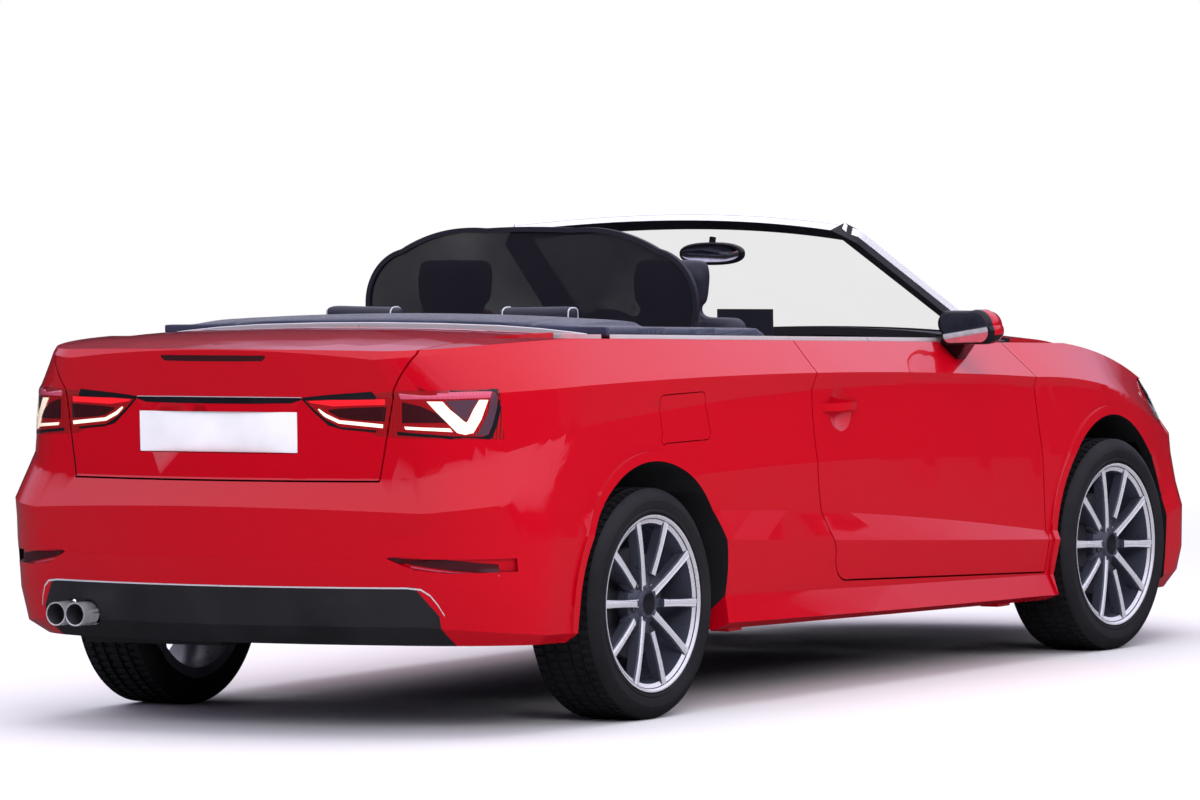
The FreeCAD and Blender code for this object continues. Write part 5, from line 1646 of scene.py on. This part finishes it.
@dataclass
class SoftTrim:
    """Folded roof and padded seats, with sewn channels and piping."""

    palette: Palette
    fill: float = 0.9
    channel_deep: float = 0.005
    channel_wide: float = 0.010
    firm: float = 0.9
    round_crease: float = 180.0
    roof_stuffing: Stuffing = Stuffing(0.012, 0.006, 0.003)
    roof_foot: float = 0.2
    roof_give: float = 0.25
    roof_seams: tuple[float, ...] = (-0.50, 0.50)
    rim_line: Profile = ((0.0, 1.0885), (0.2, 1.0870), (0.4, 1.0820), (0.54, 1.0740),
                         (0.64, 1.0650), (0.69, 1.0600))
    rim_rear: float = -1.3335
    rim_low: float = 1.0575
    rim_thick: float = 0.0065
    rim_bevel: float = 0.0015
    rim_crease: float = 40.0
    seat_stuffing: Stuffing = Stuffing(0.0135)
    seat_middle: float = 0.372
    seat_low: float = 0.34
    seat_top: float = 1.05
    seam_half: float = 0.135
    seam_near: float = 0.007
    cross_seams: tuple[float, ...] = (0.72, 0.90)
    bench_stuffing: Stuffing = Stuffing(0.0140, 0.014, 0.0, 6.0)
    bench_low: float = 0.40
    bench_top: float = 1.03
    bench_seams: tuple[float, ...] = (0.0, 0.15, 0.45)
    piping: tuple[float, ...] = (0.190, 0.410)
    rest_middle: Pair = (-0.957, 1.085)
    rest_turn: Pair = (-15.0, 210.0)
    rest_steps: int = 12
    rest_reach: float = 0.12
    rest_radius: float = 0.045
    piping_lift: float = 0.0006
    piping_radius: float = 0.0020
    piping_sides: int = 8

    def soft(self, name: str, bm: Mesh, slot: Slot, finish: str, node: str) -> None:
        """Make one padded piece with one subdivision.

        Args:
            name: Name of the piece.
            bm: Its mesh.
            slot: Material slot.
            finish: Finish by name.
            node: CAD node that it stands for.
        """
        made = Piece(name, bm, "body", slot, self.palette.pick(finish), self.round_crease,
                     smooth=1).make(node)

    def channel(self, bm: Mesh, far: Callable[[Vector], float]) -> None:
        """Press a sewn channel into a soft piece.

        Args:
            bm: Mesh of the piece.
            far: Distance of a point from the seam.
        """
        bm.normal_update()
        for vert in bm.verts:
            away = far(vert.co) / self.channel_wide
            if away < 1.0:
                vert.co -= vert.normal * self.channel_deep * (1 - away * away) ** 2

    def roof(self) -> None:
        """Dress the folded roof as a padded cover with sewn cross seams and a bright edge."""
        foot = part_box("folded_roof")[0][2] + self.roof_foot
        bm = self.roof_stuffing.swelled(
            "folded_roof", lambda place: 1.0 if place.z < foot else self.roof_give)
        for seam in self.roof_seams:
            self.channel(bm, lambda place, at=seam: abs(place.y - at))
        self.soft("folded_roof_cloth", bm, Slot.ROOF, "roof_navy", "folded_roof")
        run = [(-y, z) for y, z in reversed(self.rim_line)] + list(self.rim_line[1:])
        edge = ribbon([(self.rim_rear, y, self.rim_low) for y, _ in run],
                      [(self.rim_rear, y, z) for y, z in run], 1)
        thickened(edge, Vector((self.rim_thick, 0, 0)))
        Piece("roof_edge_strip", edge, "body", Slot.SATIN, self.palette.pick("satin_strip"),
              self.rim_crease, self.rim_bevel).make()

    def front_seat(self, side: Side) -> None:
        """Dress one front seat as a padded cover with sewn panels.

        Args:
            side: Side of the car.
        """
        node = side.named("front_seat")
        middle = self.seat_middle * side.value

        def aside(place: Vector) -> float:
            """Distance from the two long seams."""
            return abs(abs(place.y - middle) - self.seam_half)

        bm = self.seat_stuffing.swelled(
            node, lambda place: self.firm if place.z < self.seat_low
            or aside(place) < self.seam_near else 0.0)
        self.channel(bm, lambda place: aside(place) if place.z < self.seat_top else FAR)
        self.channel(bm, lambda place: min(abs(place.z - at) for at in self.cross_seams)
                     if place.x < 0.0 else FAR)
        self.soft(node + "_cover", bm, Slot.LEATHER, "seat_navy", node)

    def rear_seat(self) -> None:
        """Dress the rear seat, with piping over its head rests."""
        bm = self.bench_stuffing.swelled(
            "rear_seat", lambda place: self.firm if place.z < self.bench_low
            or abs(place.y) < self.seam_near else 0.0)
        for seam in self.bench_seams:
            self.channel(bm, lambda place, at=seam: abs(abs(place.y) - at)
                         if place.z < self.bench_top else FAR)
        skin = Skin(bm)
        self.soft("rear_seat_cover", bm, Slot.LEATHER, "seat_navy", "rear_seat")
        for side in Side:
            for place in self.piping:
                self.rest_piping(skin, side, place)

    def rest_piping(self, skin: Skin, side: Side, place: float) -> None:
        """Lay one line of piping over a rear head rest.

        Args:
            skin: Surface of the rear seat.
            side: Side of the car.
            place: Distance of the line from the middle of the car.
        """
        middle = Vector((self.rest_middle[0], place * side.value, self.rest_middle[1]))
        line = []
        for step in range(self.rest_steps + 1):
            turn = self.rest_turn[0] + self.rest_turn[1] * step / self.rest_steps
            way = Vector((math.cos(math.radians(turn)), 0, math.sin(math.radians(turn))))
            hit = skin.tree.ray_cast(middle + way * self.rest_reach, -way)[0]
            line.append((hit or middle + way * self.rest_radius) + way * self.piping_lift)
        Piece(side.named("rest_piping_%d" % round(place / MILLI)),
              tube(line, self.piping_radius, self.piping_sides), "body", Slot.LEATHER,
              self.palette.pick("piping_silver")).make()

    def build(self) -> None:
        """Dress the roof and the seats."""
        self.roof()
        for side in Side:
            self.front_seat(side)
        self.rear_seat()


@dataclass
class Mirrors:
    """Interior mirror and the two door mirrors."""

    palette: Palette
    crease: float = 30.0
    middle: Point = (0.434, 0.0, 1.222)
    half: Pair = (0.110, 0.034)
    squareness: float = 0.8
    steps: int = 56
    thick: float = 0.026
    rim: float = 0.007
    rim_segments: int = 3
    level: float = 1e-6
    longest: float = 0.1
    bezel: float = 0.003
    bezel_deep: float = 0.0012
    stem_line: Run = ((0.447, 0, 1.246), (0.449, 0, 1.260), (0.452, 0, 1.2705))
    stem_radius: float = 0.010
    stem_sides: int = 16
    cap_from: Point = (0.425, 0.80, 0.985)
    glass_facing: float = -0.9
    glass_front: float = 0.404
    glass_scale: float = 0.9
    glass_lift: float = 0.0015
    glass_thick: float = 0.001

    def inside(self) -> None:
        """Build the oval interior mirror with its stem."""
        bm = bmesh.new()
        bmesh.ops.create_circle(bm, cap_ends=True, segments=self.steps, radius=1.0)
        for vert in bm.verts:
            wide, tall = (math.copysign(abs(part) ** self.squareness, part)
                          for part in vert.co.xy)
            vert.co = Vector(self.middle) + Vector((0, self.half[0] * wide, self.half[1] * tall))
        thickened(bm, Vector((self.thick, 0, 0)))
        rims = [edge for edge in bm.edges if edge.calc_length() < self.longest
                and abs(edge.verts[0].co.x - edge.verts[1].co.x) < self.level]
        bmesh.ops.bevel(bm, geom=rims, offset=self.rim, segments=self.rim_segments,
                        profile=0.5, affect="EDGES", material=-1, clamp_overlap=True)
        back = min(bm.faces, key=lambda face: face.calc_center_median().x)
        bmesh.ops.inset_individual(bm, faces=[back], thickness=self.bezel,
                                   depth=-self.bezel_deep)
        back.material_index = 1
        stem = tube(self.stem_line, self.stem_radius, self.stem_sides)
        Piece("interior_mirror_shell", joined([bm, stem]), "body", Slot.BLACK,
              self.palette.pick("black_gloss", "mirror_silver"),
              self.crease).make("interior_mirror")

    def outside(self, side: Side) -> None:
        """Dress one door mirror: black shell, red cap to the front, glass to the rear.

        Args:
            side: Side of the car.
        """
        node, door = side.named("door_mirror"), side.named("door")
        bm = welded(node)
        for face in bm.faces:
            x, y, z = face.calc_center_median()
            cap = all(part > low for part, low in zip((x, abs(y), z), self.cap_from))
            face.material_index = 0 if cap else 1
        glass = bm.copy()
        rest = [face for face in glass.faces if face.normal.x > self.glass_facing
                or face.calc_center_median().x > self.glass_front]
        bmesh.ops.delete(glass, geom=rest, context="FACES")
        middle = sum((vert.co for vert in glass.verts), Vector()) / max(1, len(glass.verts))
        lift = Vector((self.glass_lift, 0, 0))
        for vert in glass.verts:
            vert.co = middle + (vert.co - middle) * self.glass_scale - lift
        Piece(side.named("mirror_shell"), bm, door, Slot.BLACK,
              self.palette.pick("red_clear_coat", "black_gloss"), self.crease).make(node)
        thickened(glass, Vector((self.glass_thick, 0, 0)))
        for face in glass.faces:
            face.material_index = 0
        Piece(side.named("mirror_glass"), glass, door, Slot.BRIGHT,
              self.palette.pick("mirror_silver"), self.crease).make()

    def build(self) -> None:
        """Dress the mirrors."""
        self.inside()
        for side in Side:
            self.outside(side)


# Studio


@dataclass(frozen=True)
class SoftBox:
    """One soft box: its place, size in metres and power in watts."""

    name: str
    place: Point
    wide: float
    tall: float
    power: float


@dataclass
class Studio:
    """Pale floor, soft lamps and the camera, its angles in degrees and lens in millimetres."""

    floor_half: float = 40.0
    eye: Point = (-19.9649, -12.6296, 1.877)
    yaw: float = 32.563
    pitch: float = -2.588
    roll: float = -1.054
    lens: float = 241.95
    sensor: float = 36.0
    sight: float = 200.0
    aim: Point = (0, 0, 0.6)
    boxes: tuple[SoftBox, ...] = (
        SoftBox("top_box", (-0.5, 0.0, 6.5), 7.0, 5.0, 260.0),
        SoftBox("key_box", (-7.5, -6.5, 4.8), 4.5, 3.0, 330.0),
        SoftBox("side_box", (1.5, -8.5, 3.6), 7.0, 2.4, 200.0),
        SoftBox("far_box", (3.0, 8.0, 4.5), 6.0, 3.0, 160.0))
    sky_strength: float = 1.0
    sky_stops: tuple[tuple[float, Colour], ...] = (
        (0.0, (0.02, 0.02, 0.025)), (0.15, (0.03, 0.03, 0.04)), (0.24, (0.60, 0.55, 0.78)),
        (0.6, (0.95, 0.90, 1.15)), (1.0, (1.0, 1.0, 1.1)))

    def floor(self) -> None:
        """Lay the floor."""
        bm = bmesh.new()
        bmesh.ops.create_grid(bm, x_segments=1, y_segments=1, size=self.floor_half)
        data = bpy.data.meshes.new("studio_floor")
        bm.to_mesh(data)
        bm.free()
        data.materials.append(FloorFinish().material())
        shown("studio_floor", data)

    def lights(self) -> None:
        """Hang the soft boxes, each aimed at the middle of the car."""
        for box in self.boxes:
            data = bpy.data.lights.new(box.name, "AREA")
            data.shape = "RECTANGLE"
            data.size = box.wide
            data.size_y = box.tall
            data.energy = box.power
            lamp = shown(box.name, data)
            lamp.location = box.place
            way = Vector(self.aim) - Vector(box.place)
            lamp.rotation_euler = way.to_track_quat("-Z", "Y").to_euler()
            lamp.visible_glossy = False

    def sky(self) -> None:
        """Light the room from above, dark at the horizon, with a white backdrop."""
        world = bpy.data.worlds.new("studio")
        world.use_nodes = True
        nodes = Nodes(world.node_tree)
        way = nodes.node("TexCoord", "Generated", {})
        height = nodes.node("SeparateXYZ", "Z", {"Vector": way})
        room = nodes.node("Background", "Background", {
            "Color": nodes.ramp(height, self.sky_stops), "Strength": self.sky_strength})
        white = nodes.node("Background", "Background", {"Color": WHITE})
        seen = nodes.node("LightPath", "Is Camera Ray", {})
        mix = nodes.node("MixShader", "Shader", {"Fac": seen, 1: room, 2: white})
        nodes.feed(nodes.tree.nodes["World Output"].inputs["Surface"], mix)
        bpy.context.scene.world = world

    def camera(self) -> None:
        """Stand the camera where the photograph was taken."""
        yaw, pitch, roll = (math.radians(part) for part in (self.yaw, self.pitch, self.roll))
        way = Vector((math.cos(yaw) * math.cos(pitch), math.sin(yaw) * math.cos(pitch),
                      math.sin(pitch)))
        right = Vector((math.sin(yaw), -math.cos(yaw), 0))
        up = right.cross(way)
        turned_right = right * math.cos(roll) + up * math.sin(roll)
        turned_up = up * math.cos(roll) - right * math.sin(roll)
        basis = Matrix((turned_right, turned_up, -way)).transposed().to_4x4()
        data = bpy.data.cameras.new("view")
        data.sensor_width = self.sensor
        data.lens = self.lens
        data.clip_end = self.sight
        eye = shown("view", data)
        eye.matrix_world = Matrix.Translation(self.eye) @ basis
        bpy.context.scene.camera = eye

    def build(self) -> None:
        """Set up the studio."""
        self.floor()
        self.lights()
        self.sky()
        self.camera()
        bpy.context.scene.view_settings.view_transform = "Standard"


def main() -> None:
    """Build the studio and the car."""
    logging.basicConfig(level=logging.INFO, format="%(name)s: %(message)s")
    palette = Palette()
    Studio().build()
    for part in (PlainNodes, PaintedBody, RoadWheels, RearLamps, HeadLamps, TailDetail,
                 ScreenFrame, SoftTrim, Mirrors):
        part(palette).build()


if __name__ == "__main__":
    main()
